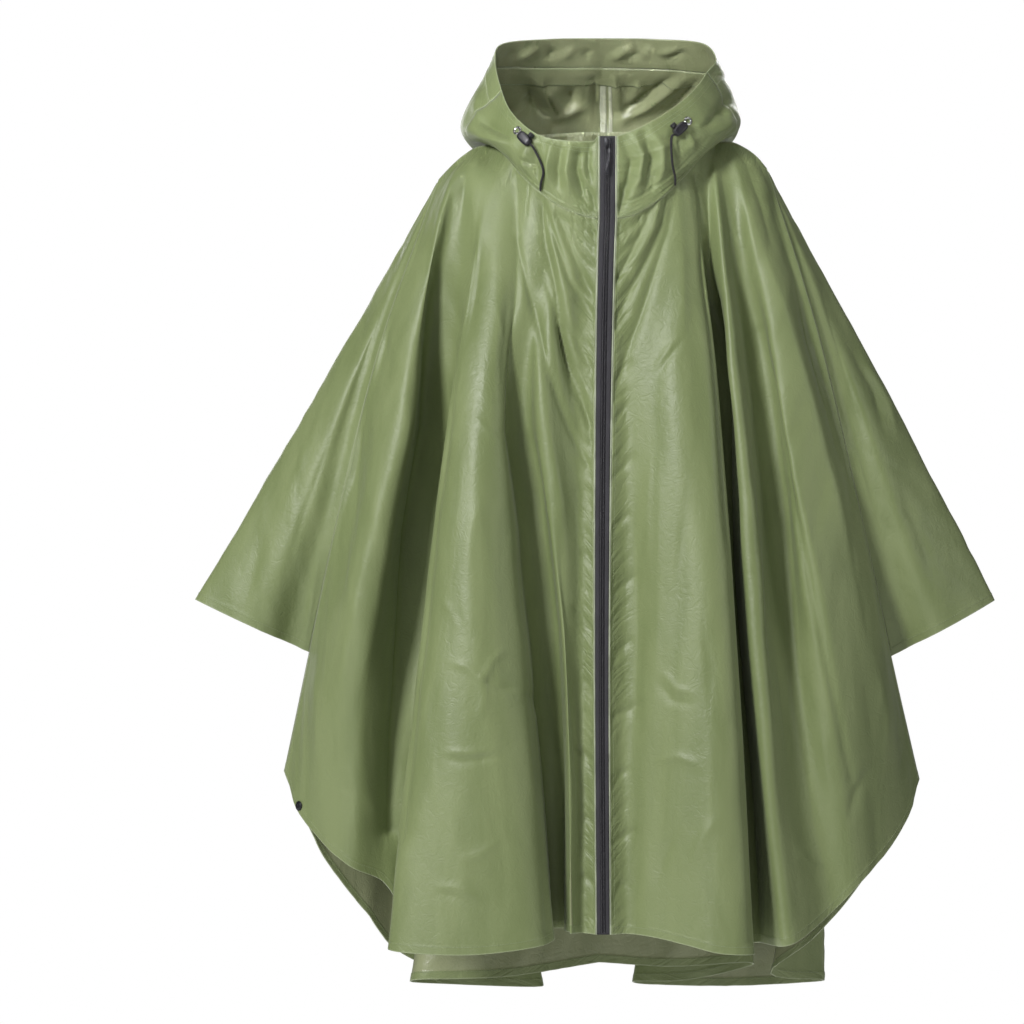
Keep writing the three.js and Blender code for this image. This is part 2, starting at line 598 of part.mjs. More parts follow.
// The bridge's side view: an arch, drawn with x up the zip and y out from the slider.
const bridgeShape = new THREE.Shape();
const [archHalf, archRise, archWall] = [BRIDGE.height / 2, BRIDGE.rise, BRIDGE.thickness];
bridgeShape.moveTo(-archHalf, BRIDGE.foot);
bridgeShape.lineTo(-archHalf + archWall, BRIDGE.foot);
bridgeShape.lineTo(-archHalf + archWall, archRise - archWall);
bridgeShape.lineTo(archHalf - archWall, archRise - archWall);
bridgeShape.lineTo(archHalf - archWall, BRIDGE.foot);
bridgeShape.lineTo(archHalf, BRIDGE.foot);
bridgeShape.lineTo(archHalf - archWall / 2, archRise);
bridgeShape.lineTo(-archHalf + archWall / 2, archRise);
const bridgeBasis = new THREE.Matrix4().makeBasis(
  new THREE.Vector3(0, 0, 1), new THREE.Vector3(0, -1, 0), new THREE.Vector3(1, 0, 0),
).setPosition(sliderX - BRIDGE.width / 2, sliderFace, SLIDER.z);
add('zip_bridge', plate(bridgeShape, BRIDGE.width).applyMatrix4(bridgeBasis), METAL_DARK);

// The tab turns on its top bar, inside the bridge's hollow; here the bar's middle is at 0.
const tabShape = new THREE.Shape();
const [tabHalf, barHalf] = [TAB.width / 2, TAB.bar / 2];
const tabEnd = -TAB.length + barHalf;
tabShape.moveTo(-tabHalf + TAB.shoulder, barHalf);
tabShape.lineTo(-tabHalf, barHalf - TAB.slotLength / 2);
tabShape.lineTo(-tabHalf, tabEnd + TAB.corner);
tabShape.absarc(-tabHalf + TAB.corner, tabEnd + TAB.corner, TAB.corner, Math.PI, 1.5 * Math.PI);
tabShape.lineTo(tabHalf - TAB.corner, tabEnd);
tabShape.absarc(tabHalf - TAB.corner, tabEnd + TAB.corner, TAB.corner, 1.5 * Math.PI, 2 * Math.PI);
tabShape.lineTo(tabHalf, barHalf - TAB.slotLength / 2);
tabShape.lineTo(tabHalf - TAB.shoulder, barHalf);
const slot = new THREE.Path();
const [slotHalf, slotTop] = [TAB.slotWidth / 2, -barHalf];
slot.moveTo(-slotHalf, slotTop);
slot.lineTo(slotHalf, slotTop);
slot.lineTo(slotHalf, slotTop - TAB.slotLength);
slot.lineTo(-slotHalf, slotTop - TAB.slotLength);
tabShape.holes.push(slot);
const bridgeHollow = BRIDGE.rise - BRIDGE.thickness;
add('zip_pull_tab', upright(
  plate(tabShape, TAB.thickness), sliderFace - bridgeHollow / 2 + TAB.thickness / 2,
), METAL_DARK);

// Eyelets, cord locks and the draw cord's ends, on both sides of the bib
const SIDES = ['right', 'left'];
for (const side of SIDES) {
  const eye = onHood(side, EYELET_AT[side].at, EYELET_AT[side].down);
  const ring = turned([
    [EYELET.inner, EYELET.stand], [EYELET.outer, EYELET.stand],
    [EYELET.outer - EYELET.rise / 2, EYELET.stand + EYELET.rise],
    [EYELET.inner + EYELET.rise / 2, EYELET.stand + EYELET.rise],
    [EYELET.inner, EYELET.stand],
  ], EYELET.sides);
  add(`eyelet_${side}`, ring.applyMatrix4(facing(eye.place, eye.normal, eye.below)), METAL_BRIGHT);

  const far = onHood(side, LOCK_TOWARDS[side].at, LOCK_TOWARDS[side].down);
  const run = far.place.clone().sub(eye.place).normalize();
  const out = eye.normal.clone().add(far.normal).normalize();
  out.addScaledVector(run, -out.dot(run)).normalize();
  const middle = eye.place.clone()
    .addScaledVector(run, LOCK.lead + LOCK.length / 2)
    .addScaledVector(out, LOCK_TOWARDS[side].stand + LOCK.depth / 2);
  const body = new THREE.ExtrudeGeometry(
    roundedRectangle(LOCK.width - 2 * LOCK.edge, LOCK.length - 2 * LOCK.edge, LOCK.corner),
    {
      depth: LOCK.depth - 2 * LOCK.edge, bevelSize: LOCK.edge, bevelThickness: LOCK.edge,
      bevelSegments: 1, curveSegments: CURVE_STEPS - 1,
    },
  ).translate(0, 0, LOCK.edge - LOCK.depth / 2);
  const lockFrame = facing(middle, out, run);
  add(`cord_lock_${side}`, body.applyMatrix4(lockFrame), PLASTIC_BLACK);

  const handed = side === 'right' ? -1 : 1;
  const button = new THREE.CylinderGeometry(BUTTON.radius, BUTTON.radius, BUTTON.length, BUTTON.sides)
    .rotateZ(Math.PI / 2)
    .translate(handed * (LOCK.width / 2 + BUTTON.length / 2 + SEAM_GAP), BUTTON.up, 0);
  add(`cord_button_${side}`, button.applyMatrix4(lockFrame), PLASTIC_BLACK);

  const start = middle.clone().addScaledVector(run, LOCK.length / 2 + SEAM_GAP);
  const route = [start, start.clone().addScaledVector(run, CORD.lead)];
  for (const { down, stand } of CORD_OVER) {
    const over = onHood(side, CORD_END_AT[side], down);
    route.push(over.place.addScaledVector(over.normal, stand));
  }
  const section = new THREE.Shape();
  section.absarc(0, 0, CORD.radius, 0, 2 * Math.PI);
  const cord = new THREE.ExtrudeGeometry(section, {
    extrudePath: through(route), steps: CORD.steps, bevelEnabled: false, curveSegments: CORD.sides / 2,
  });
  add(`cord_${side}`, cord, PLASTIC_BLACK);
}

// Snap cap, a little up from the hem
const hemRow = fronts.right.length - 1;
const snapColumn = SNAP.fold * COLUMNS_PER_FOLD;
const hemPoint = fronts.right[hemRow][snapColumn];
const hemUp = fronts.right[hemRow - 1][snapColumn].clone().sub(hemPoint).normalize();
const snapCap = turned([
  [0, SNAP.stand], [SNAP.radius, SNAP.stand], [SNAP.radius, SNAP.stand + SNAP.rise / 2],
  [SNAP.crown, SNAP.stand + SNAP.rise], [0, SNAP.stand + SNAP.rise],
], SNAP.sides);
add('snap_right', snapCap.applyMatrix4(facing(
  hemPoint.clone().addScaledVector(hemUp, SNAP.up),
  clothNormals[0][hemRow][snapColumn].clone().add(clothNormals[0][hemRow - 1][snapColumn]),
  hemUp,
)), METAL_DARK);

export default group;
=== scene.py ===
"""Hooded rain poncho: cloth, sewing, zip and fittings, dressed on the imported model.

Tables are in millimetres, as a cutter would write them, and meshes are in metres. Each solid of the
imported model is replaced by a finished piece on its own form.
The front faces -Y, and right and left are the wearer's, so the right side is at -X.
"""

import logging
import math
from dataclasses import dataclass, field
from enum import Enum
from typing import Callable, Optional, Sequence

import bpy
import numpy as np
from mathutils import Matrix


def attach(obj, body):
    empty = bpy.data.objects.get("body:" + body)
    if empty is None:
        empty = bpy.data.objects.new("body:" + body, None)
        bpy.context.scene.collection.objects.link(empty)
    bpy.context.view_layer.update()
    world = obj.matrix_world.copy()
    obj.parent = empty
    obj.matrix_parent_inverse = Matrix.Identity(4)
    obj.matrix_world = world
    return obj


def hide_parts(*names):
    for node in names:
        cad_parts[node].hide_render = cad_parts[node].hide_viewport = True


Array = np.ndarray
MM = 0.001
LOG = logging.getLogger("poncho")
BODY = "garment"
TAB_BODY = "pull_tab"

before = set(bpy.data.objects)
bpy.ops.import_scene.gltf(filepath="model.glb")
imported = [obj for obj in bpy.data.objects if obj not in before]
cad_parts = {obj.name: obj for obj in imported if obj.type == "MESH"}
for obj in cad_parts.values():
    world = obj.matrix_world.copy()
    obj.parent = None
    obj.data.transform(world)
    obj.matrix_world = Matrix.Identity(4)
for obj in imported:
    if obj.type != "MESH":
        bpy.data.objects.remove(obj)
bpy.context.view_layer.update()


class Side(Enum):
    """The wearer's right or left; the value is the sign of X."""

    RIGHT = -1
    LEFT = 1

    @property
    def word(self) -> str:
        """The side's name as nodes use it."""
        return self.name.lower()


class Station(Enum):
    """Named heights down a panel, as shares of a fold line from its seam to the hem."""

    TOP = 0.0
    OVER = 0.06
    UPPER = 0.28
    LOWER = 0.62
    HEM = 1.0


STATION_SHARES = [station.value for station in Station]


@dataclass(frozen=True)
class Viewpoint:
    """The photograph's camera: level, well back, on the zip's own height."""

    distance: float = 6.0
    across: float = -0.114
    level: float = -0.449
    frame_width: float = 1.2698
    sensor: float = 36.0

    def place(self) -> bpy.types.Object:
        """Makes the camera and gives it to the scene.

        Returns:
            The camera object.
        """
        data = bpy.data.cameras.new("camera")
        data.sensor_width = self.sensor
        data.lens = self.sensor * self.distance / self.frame_width
        data.clip_end = 60.0
        camera = bpy.data.objects.new("camera", data)
        camera.location = (self.across, -self.distance, self.level)
        camera.rotation_euler = (math.radians(90.0), 0.0, 0.0)
        bpy.context.scene.collection.objects.link(camera)
        bpy.context.scene.camera = camera
        return camera

    def seen(self, points: Array) -> Array:
        """Where points show, as X and Z in millimetres on the upright plane through the origin.

        Args:
            points: (..., 3) places in millimetres.

        Returns:
            (..., 2): each offset from the view axis divided by its distance's share of the plane's.
        """
        centre = np.array([self.across, self.level]) / MM
        nearness = 1.0 + points[..., 1] * MM / self.distance
        return centre + (points[..., [0, 2]] - centre) / nearness[..., None]


VIEW = Viewpoint()


def smooth_step(share: Array) -> Array:
    """A soft ramp from 0 to 1: 3s squared less 2s cubed, with s held between 0 and 1."""
    held = np.clip(share, 0.0, 1.0)
    return held * held * (3.0 - 2.0 * held)


def bump(distance: Array, width: float) -> Array:
    """A bell curve, 1 at distance 0 and nearly 0 at twice the width."""
    return np.exp(-((distance / width) ** 2))


def pinch(distance: Array, width: float) -> Array:
    """A crease's profile, crisp on top with soft flanks: e to the minus (distance over width) ^ 1.35."""
    return np.exp(-((np.abs(distance) / width) ** 1.35))


def unit(vectors: Array) -> Array:
    """Vectors divided by their own lengths."""
    return vectors / np.linalg.norm(vectors, axis=-1, keepdims=True)


def circle(corners: int) -> Array:
    """Angles round a circle, evenly spaced from 0."""
    return np.linspace(0, 2 * math.pi, corners, endpoint=False)


def nearest(values: Array, wanted: float) -> int:
    """Which of the values lies nearest to the wanted one."""
    return int(np.argmin(np.abs(values - wanted)))


def run_of(line: Array) -> Array:
    """Distance along a line from its first point to each of its points."""
    return np.concatenate([[0.0], np.cumsum(np.linalg.norm(np.diff(line, axis=0), axis=1))])


def read_off(line: Array, run: Array, at: Array) -> Array:
    """The places on a line at given distances along it, straight between its points."""
    return np.stack([np.interp(at, run, line[:, k]) for k in range(3)], axis=1)


def through(points: Array, at: Array) -> Array:
    """A smooth line through points, a centripetal Catmull-Rom curve.

    Each stretch is a cubic between two points. Its end slopes are weighed by the square roots of
    the chord lengths, and the line is carried on straight past its first and last point.

    Args:
        points: (n, ..., 3) control points of one line, or of many beside each other.
        at: (m,) places along it, counted in control points from 0.

    Returns:
        (m, ..., 3) points.
    """
    last = len(points) - 1
    start = np.clip(np.floor(at).astype(int), 0, last - 1)
    step = (at - start).reshape((-1,) + (1,) * (points.ndim - 1))
    wide = np.concatenate([2 * points[:1] - points[1:2], points, 2 * points[-1:] - points[-2:-1]])
    p0, p1, p2, p3 = (wide[start + k] for k in range(4))
    d0, d1, d2 = (np.sqrt(np.linalg.norm(b - a, axis=-1, keepdims=True))
                  for a, b in ((p0, p1), (p1, p2), (p2, p3)))
    tiny = 1e-4
    d1 = np.where(d1 < tiny, 1.0, d1)
    d0 = np.where(d0 < tiny, d1, d0)
    d2 = np.where(d2 < tiny, d1, d2)
    leave = ((p1 - p0) / d0 - (p2 - p0) / (d0 + d1) + (p2 - p1) / d1) * d1
    reach = ((p2 - p1) / d1 - (p3 - p1) / (d1 + d2) + (p3 - p2) / d2) * d1
    square, cube = step ** 2, step ** 3
    return (p1 + leave * step + (3 * (p2 - p1) - 2 * leave - reach) * square
            + (2 * (p1 - p2) + leave + reach) * cube)


def line_at(points: Array, shares: Sequence[float], at: Array) -> Array:
    """The smooth line through points that lie at the given shares, read at other shares."""
    return through(points, np.interp(at, shares, np.arange(len(shares))))


def surface_normals(grid: Array) -> Array:
    """Unit normals of a grid of points: the slope across the columns crossed with the slope down."""
    normal = np.cross(np.gradient(grid, axis=1), np.gradient(grid, axis=0))
    return normal / np.maximum(np.linalg.norm(normal, axis=-1, keepdims=True), 1e-9)


def lengths_along(grid: Array, axis: int) -> Array:
    """Distance from the grid's first row (axis 0) or column (axis 1) to each point, along the cloth."""
    steps = np.linalg.norm(np.diff(grid, axis=axis), axis=-1)
    total = np.cumsum(steps, axis=axis)
    return np.concatenate([np.zeros_like(np.take(total, [0], axis=axis)), total], axis=axis)


def rolling(across: Array, down: Array, cell: tuple[float, float], seed: int) -> Array:
    """Soft uneven hills from -1 to 1: seeded values on a lattice, blended smoothly between its corners.

    Args:
        across: places along the first direction.
        down: places along the second direction.
        cell: the lattice's spacing in each direction, in the same units.
        seed: fixes the values.

    Returns:
        The height at each place.
    """
    a, b = across / cell[0], down / cell[1]
    i, j = np.floor(a).astype(int), np.floor(b).astype(int)
    values = np.random.default_rng(seed).uniform(-1.0, 1.0, (97, 89))
    fa, fb = smooth_step(a - i), smooth_step(b - j)
    corner = [[values[(i + p) % 97, (j + q) % 89] for q in (0, 1)] for p in (0, 1)]
    top = corner[0][0] * (1 - fa) + corner[1][0] * fa
    low = corner[0][1] * (1 - fa) + corner[1][1] * fa
    return top * (1 - fb) + low * fb


def folded(hills: Array) -> Array:
    """Thin creases where soft hills pass through 0: e to the minus of the height's size over 0.16."""
    return np.exp(-np.abs(hills) / 0.16)


# A crease is a soft trough (height below 0) or ridge (above 0) along a line on the cloth.
@dataclass(frozen=True)
class Crease:
    """One crease, placed where it shows from the front or, on the back, from behind.

    Attributes:
        line: X and Z of its bends, in millimetres.
        width: from its middle to its foot.
        height: at its middle, below 0 for a trough.
        start: how full it is at its first point, from 0, where it fades out.
        end: the same at its last point.
    """

    line: tuple[tuple[float, float], ...]
    width: float
    height: float
    start: float = 0.0
    end: float = 0.0

    def raise_at(self, places: Array) -> Array:
        """Height of the crease at each place.

        The nearest point on the line is found stretch by stretch. The height there is a bell curve
        of the distance, faded towards the two ends by a soft arch along the line.

        Args:
            places: (..., 2) places as X and Z.

        Returns:
            (...) heights in millimetres.
        """
        points = np.array(self.line, float)
        spans = np.linalg.norm(np.diff(points, axis=0), axis=1)
        run = np.concatenate([[0.0], np.cumsum(spans)])
        nearest = np.full(places.shape[:-1], 1e9)
        along = np.zeros(places.shape[:-1])
        for k, span in enumerate(spans):
            direction = (points[k + 1] - points[k]) / span
            reach = (places - points[k]) @ direction
            held = np.clip(reach, 0.0, span)
            away = np.linalg.norm(places - points[k] - held[..., None] * direction, axis=-1)
            closer = away < nearest
            nearest = np.where(closer, away, nearest)
            along = np.where(closer, run[k] + held, along)
        share = along / run[-1]
        rise = self.start + (1 - self.start) * smooth_step(share / 0.35)
        fall = self.end + (1 - self.end) * smooth_step((1 - share) / 0.45)
        return self.height * rise * fall * pinch(nearest, self.width)


def creases(rows: Sequence[tuple], fullness: float = 1.0) -> list[Crease]:
    """Reads a table of creases with the columns line, width, height, start and end.

    Args:
        rows: the table.
        fullness: every height is taken this many times.

    Returns:
        The creases.
    """
    return [Crease(line, width, height * fullness, *ends) for line, width, height, *ends in rows]


# The neck seam, from the zip round one side to the centre back, a row for each fold line on it.
NECK_SEAM = {
    Side.RIGHT: np.array([
        [-9, -105, -91], [-28, -103, -87], [-50, -99, -78], [-70, -91, -65], [-88, -81, -50],
        [-105, -67, -33], [-119, -50, -14], [-129, -30, -2], [-138, -4, 6],
        [-134, 20, 12], [-120, 40, 17], [-102, 53, 20], [-82, 60, 23],
        [-62, 64, 25], [-42, 67, 26], [-21, 68, 27], [0, 68, 27]], float),
    Side.LEFT: np.array([
        [14, -105, -91], [33, -103, -87], [54, -98, -76], [74, -90, -61], [91, -79, -44],
        [106, -65, -27], [119, -48, -10], [129, -28, 1], [138, -4, 10],
        [134, 20, 14], [120, 40, 18], [102, 53, 21], [82, 60, 24],
        [62, 64, 25], [42, 67, 26], [21, 68, 27], [0, 68, 27]], float),
}
NECK_SIDE = 8  # the row of the neck seam at the side of the neck, where front and back meet
SHOULDER_FOLDS = 5
SHOULDER = {
    Side.RIGHT: np.array([
        [-138, -4, 6], [-157, 0, 4], [-174, 3, -6], [-190, 4, -20], [-205, 5, -36]], float),
    Side.LEFT: np.array([
        [138, -4, 10], [158, 0, 10], [175, 3, 3], [190, 4, -8], [202, 5, -22]], float),
}
UNDERARM = 0.8

# Fold lines: zHem, then x and y over the seam, in the upper part, in the lower part and at the hem.
FRONT_FOLDS = {
    Side.RIGHT: np.array([
        [-960, -11, -108, -14, -120, -15, -136, -13, -150],  # zip edge
        [-959, -26, -105, -31, -115, -31, -128, -29, -141],  # dip beside the zip
        [-958, -51, -102, -78, -128, -49, -150, -44, -162],  # ridge
        [-957, -73, -95, -98, -110, -77, -110, -62, -104],  # valley
        [-968, -92, -88, -120, -136, -104, -168, -72, -196],  # broad pleat, inner flank
        [-979, -112, -79, -150, -143, -166, -192, -165, -216],  # broad pleat, crest
        [-975, -143, -67, -183, -116, -225, -152, -262, -190],  # broad pleat, outer edge
        [-966, -153, -58, -174, -82, -204, -98, -236, -122],  # tuck, front face
        [-948, -166, -48, -188, -44, -220, -24, -246, -44],  # tuck, bottom
        [-905, -183, -42, -208, -48, -248, -44, -272, -44],  # side panel, inner edge
        [-885, -194, -40, -230, -78, -288, -90, -310, -68],  # side panel, inner ridge
        [-857, -202, -32, -246, -73, -316, -84, -346, -48],  # side panel, crest
        [-820, -210, -26, -262, -58, -328, -58, -378, -18]], float),  # side panel, dip
    Side.LEFT: np.array([
        [-960, 12, -108, 8, -120, 5, -136, 6, -150],  # zip edge
        [-960, 29, -106, 26, -115, 23, -127, 25, -140],  # dip beside the zip
        [-962, 54, -101, 55, -126, 55, -144, 54, -158],  # front panel, inner
        [-970, 77, -94, 84, -137, 92, -166, 95, -184],  # front panel, middle
        [-979, 95, -84, 110, -133, 128, -176, 136, -200],  # front panel, crest
        [-981, 111, -71, 134, -120, 157, -160, 175, -186],  # front panel, outer edge
        [-977, 117, -58, 130, -82, 149, -96, 168, -132],  # tuck, front face
        [-974, 126, -48, 141, -50, 161, -50, 182, -96],  # tuck, bottom
        [-972, 138, -54, 156, -94, 178, -132, 222, -160],  # narrow ridge
        [-940, 157, -41, 186, -68, 218, -84, 272, -108],  # valley
        [-905, 173, -38, 205, -84, 254, -112, 308, -98],  # side panel, ridge
        [-862, 188, -34, 231, -75, 303, -82, 350, -54],  # side panel, crest
        [-824, 204, -26, 254, -55, 320, -58, 376, -18]], float),  # side panel, dip
}
BACK_FOLDS = {
    Side.RIGHT: np.array([
        [-1020, 0, 84, 0, 118, -2, 134, -4, 138],  # centre back
        [-1038, -20, 85, -46, 124, -80, 142, -122, 132],  # inner layer
        [-1041, -36, 86, -82, 128, -150, 140, -234, 122],  # inner layer, edge
        [-1046, -50, 88, -99, 136, -166, 156, -243, 148],  # first turn
        [-1053, -62, 90, -108, 147, -152, 178, -156, 174],  # middle layer
        [-1056, -76, 90, -118, 156, -140, 198, -76, 190],  # middle layer, edge
        [-1054, -92, 89, -138, 161, -152, 215, -82, 216],  # second turn
        [-1046, -114, 86, -174, 158, -208, 208, -182, 220],  # outer layer
        [-1008, -142, 74, -213, 144, -260, 180, -262, 184],  # outer crest
        [-962, -159, 64, -233, 130, -290, 154, -296, 144],  # side, fullness
        [-915, -173, 56, -246, 115, -309, 128, -331, 110],  # side, slope
        [-868, -187, 48, -257, 100, -322, 102, -358, 78],  # side, turn
        [-818, -204, 39, -267, 80, -331, 76, -380, 46]], float),  # side, edge
    Side.LEFT: np.array([
        [-1020, 0, 84, 0, 118, -2, 134, -4, 138],  # centre back
        [-1025, 20, 85, 42, 124, 74, 140, 92, 132],  # inner layer
        [-1019, 36, 86, 80, 128, 132, 140, 184, 122],  # inner layer, edge
        [-1024, 50, 88, 98, 136, 146, 155, 192, 144],  # first turn
        [-1046, 62, 90, 106, 147, 130, 176, 108, 170],  # middle layer
        [-1049, 76, 90, 117, 156, 114, 194, 42, 184],  # middle layer, edge
        [-1054, 92, 89, 137, 161, 124, 212, 48, 210],  # second turn
        [-1058, 114, 86, 172, 156, 190, 208, 165, 218],  # outer layer
        [-1051, 142, 74, 209, 144, 250, 184, 274, 202],  # outer crest
        [-1046, 159, 64, 229, 130, 274, 162, 284, 174],  # side, outer turn
        [-1035, 173, 56, 240, 115, 284, 138, 214, 140],  # side, inner turn
        [-985, 186, 48, 249, 100, 300, 114, 270, 112],  # side, slope
        [-880, 202, 39, 257, 80, 317, 80, 346, 58]], float),  # side, edge
}
# The armhole line: zHem, x at the four stations, then y at its middle and at the hem.
ARMHOLE = {Side.RIGHT: (-771, -220, -276, -337, -397, 8, 15), Side.LEFT: (-781, 216, 265, 325, 392, 8, 15)}
ARMHOLE_HALF_DEPTH = 46.0
UNDERARM_HALF_DEPTH = 4.0
SIDE_SEAM_CLOSE = 0.07
SEAM_EASE = 0.025  # share of a panel's height over which it is eased onto its top seam

SLEEVE_POINT = {Side.RIGHT: np.array([-507.0, 12, -558]), Side.LEFT: np.array([487.0, 12, -558])}
SLEEVE_TOP_SAG = {Side.RIGHT: 2.0, Side.LEFT: -3.0}
CUFF_HALF_DEPTH = 30.0
SLEEVE_SECTION = np.array([[0, 0, 0], [0.16, 0.42, -9], [0.42, 0.95, 3], [0.74, 0.86, -2], [1, 0, 0]])

# The hood: place along the neck seam, then x, y, z on the rim, the band, the crown and the keel.
HOOD = {
    Side.RIGHT: np.array([
        [0, -9, -106, 9, -9, -107, -14, -9, -107, -40, -9, -106, -66],
        [2, -38, -106, 9, -40, -107, -12, -44, -106, -36, -48, -102, -58],
        [4, -72, -97, 14, -77, -98, 0, -84, -96, -18, -88, -89, -36],
        [6, -103, -76, 29, -112, -76, 17, -127, -72, 4, -128, -62, -6],
        [7, -117, -56, 46, -129, -52, 35, -151, -44, 17, -148, -34, 8],
        [8, -127, -28, 72, -141, -20, 57, -172, -12, 25, -165, 0, 13],
        [10, -135, 14, 112, -146, 26, 96, -177, 42, 32, -158, 44, 2],
        [12, -129, 48, 135, -136, 68, 108, -150, 104, 44, -128, 92, -24],
        [14, -67, 86, 146, -70, 108, 112, -80, 156, 48, -68, 126, -48],
        [16, 0, 97, 148, 0, 120, 113, 0, 172, 48, 0, 138, -58]], float),
    Side.LEFT: np.array([
        [0, 14, -106, 9, 14, -107, -14, 14, -107, -40, 14, -106, -66],
        [2, 42, -104, 20, 44, -105, -4, 49, -104, -30, 53, -100, -54],
        [4, 70, -95, 36, 76, -96, 18, 86, -94, -8, 92, -86, -30],
        [6, 98, -74, 58, 108, -74, 42, 126, -70, 16, 129, -58, -2],
        [7, 114, -54, 75, 125, -50, 60, 147, -42, 28, 147, -32, 12],
        [8, 127, -30, 94, 138, -22, 78, 164, -12, 36, 160, 0, 18],
        [10, 140, 14, 114, 149, 26, 98, 170, 42, 36, 154, 44, 8],
        [12, 127, 48, 136, 138, 68, 101, 148, 104, 44, 128, 92, -22],
        [14, 66, 86, 146, 70, 108, 110, 80, 156, 48, 68, 126, -48],
        [16, 0, 97, 148, 0, 120, 113, 0, 172, 48, 0, 138, -58]], float),
}
HOOD_END = 16.0  # centre back, counted in fold lines from the zip
BRIM_STARTS = 8.0
BRIM_DOWN = 0.25


def shoulder(side: Side, fold: Array) -> Array:
    """The top of the shoulder, fold counting from the neck (0) to the head of the sleeve (5)."""
    return through(SHOULDER[side], fold * (len(SHOULDER[side]) - 1) / SHOULDER_FOLDS)


def fold_lines(starts: Array, rows: Array, down: Array) -> Array:
    """Fold lines hanging from their starts.

    Each passes its row's x and y at the stations, and its z falls evenly with the share from the
    start to the hem.

    Args:
        starts: (n, 3) points on the seam.
        rows: (n, 9) the fold table's rows.
        down: (m,) shares from the seam to the hem.

    Returns:
        (m, n, 3) points.
    """
    shares = np.array(STATION_SHARES)[:, None]
    z = starts[:, 2] + (rows[:, 0] - starts[:, 2]) * shares
    x = np.vstack([starts[:, 0], rows[:, 1::2].T])
    y = np.vstack([starts[:, 1], rows[:, 2::2].T])
    return line_at(np.stack([x, y, z], axis=-1), STATION_SHARES, down)


def armhole_line(side: Side, face: int, down: Array) -> Array:
    """The armhole line of the front (face -1) or the back (face 1), which goes on as the side seam.

    A middle line hangs from the head of the sleeve. The front and back lie off it by a rounded
    arch down to the underarm, then close on it over a short stretch.
    """
    z_hem, over, upper, lower, hem, y_middle, y_hem = ARMHOLE[side]
    head = shoulder(side, np.array([float(SHOULDER_FOLDS)]))
    row = np.array([[z_hem, over, y_middle, upper, y_middle, lower, y_middle, hem, y_hem]], float)
    line = fold_lines(head, row, down)[:, 0]
    along = down / UNDERARM
    arch = np.maximum(0.0, 1 - np.abs(2 * along - 1) ** 3)
    closing = (1 - smooth_step((down - UNDERARM) / SIDE_SEAM_CLOSE)) * smooth_step(along * 4)
    line[:, 1] += face * (ARMHOLE_HALF_DEPTH * arch + UNDERARM_HALF_DEPTH * closing)
    return line


def panel(side: Side, face: int, across: Array, down: Array) -> Array:
    """A front or half a back.

    Fold lines hang from the neck seam and the shoulder, and at each height a smooth line runs
    through them to the armhole. Just under the seam it is eased onto the seam's own curve.

    Args:
        side: the wearer's side.
        face: -1 for the front, 1 for the back.
        across: (c,) places across, counted in folds from the zip or the centre back.
        down: (r,) shares from the top seam to the hem.

    Returns:
        (r, c, 3) points in millimetres.
    """
    def seam(fold: Array) -> Array:
        """The panel's top edge: the neck seam, then the shoulder."""
        on_neck = np.clip(fold, 0, NECK_SIDE)
        on_neck = through(NECK_SEAM[side], on_neck if face < 0 else 2 * NECK_SIDE - on_neck)
        on_shoulder = shoulder(side, np.clip(fold - NECK_SIDE, 0, SHOULDER_FOLDS))
        return np.where((fold <= NECK_SIDE)[:, None], on_neck, on_shoulder)

    rows = (FRONT_FOLDS if face < 0 else BACK_FOLDS)[side]
    lines = fold_lines(seam(np.arange(len(rows), dtype=float)), rows, down)
    lines = np.concatenate([lines, armhole_line(side, face, down)[:, None]], axis=1)
    grid = through(lines.transpose(1, 0, 2), across).transpose(1, 0, 2)
    ease = 1 - smooth_step(down / SEAM_EASE)
    return grid + ease[:, None, None] * (seam(across) - grid[0])


def sleeve(side: Side, across: Array, down: Array) -> Array:
    """The sleeve end round its section, from the front armhole over the folded top to the back.

    At each height the section runs from the armhole out to the top edge and back, bellied by the
    section table's lens and crease, growing with the share down to the cuff.

    Args:
        side: the wearer's side.
        across: (c,) shares round the section.
        down: (r,) shares down the armhole line.

    Returns:
        (r, c, 3) points in millimetres.
    """
    head = shoulder(side, np.array([float(SHOULDER_FOLDS)]))[0]
    along = (down / UNDERARM)[:, None]
    edge = head + (SLEEVE_POINT[side] - head) * along
    edge[:, 0] -= side.value * SLEEVE_TOP_SAG[side] * np.sin(math.pi * along[:, 0])
    walls = []
    for face in (-1, 1):
        from_line = armhole_line(side, face, down)
        wall = from_line + SLEEVE_SECTION[:, 0, None, None] * (edge - from_line)
        belly = (SLEEVE_SECTION[:, 1] * CUFF_HALF_DEPTH + SLEEVE_SECTION[:, 2])[:, None] * along[:, 0]
        wall[..., 1] += face * belly
        walls.append(wall)
    section = np.concatenate([walls[0], walls[1][::-1][1:]])
    return through(section, across * (len(section) - 1)).transpose(1, 0, 2)


def hood(side: Side, at: Array, down: Array) -> Array:
    """One side of the hood.

    Smooth lines run along the rim, band, crown, keel and neck seam, and at each place along them a
    smooth line runs down through the five.

    Args:
        side: the wearer's side.
        at: (c,) places along the neck seam, counted in fold lines from the zip.
        down: (r,) shares from the rim to the seam.

    Returns:
        (r, c, 3) points in millimetres.
    """
    rows = HOOD[side]
    lines = [line_at(rows[:, k:k + 3], rows[:, 0], at) for k in (1, 4, 7, 10)]
    lines.append(through(NECK_SEAM[side], at))
    return through(np.stack(lines), down * (len(lines) - 1))


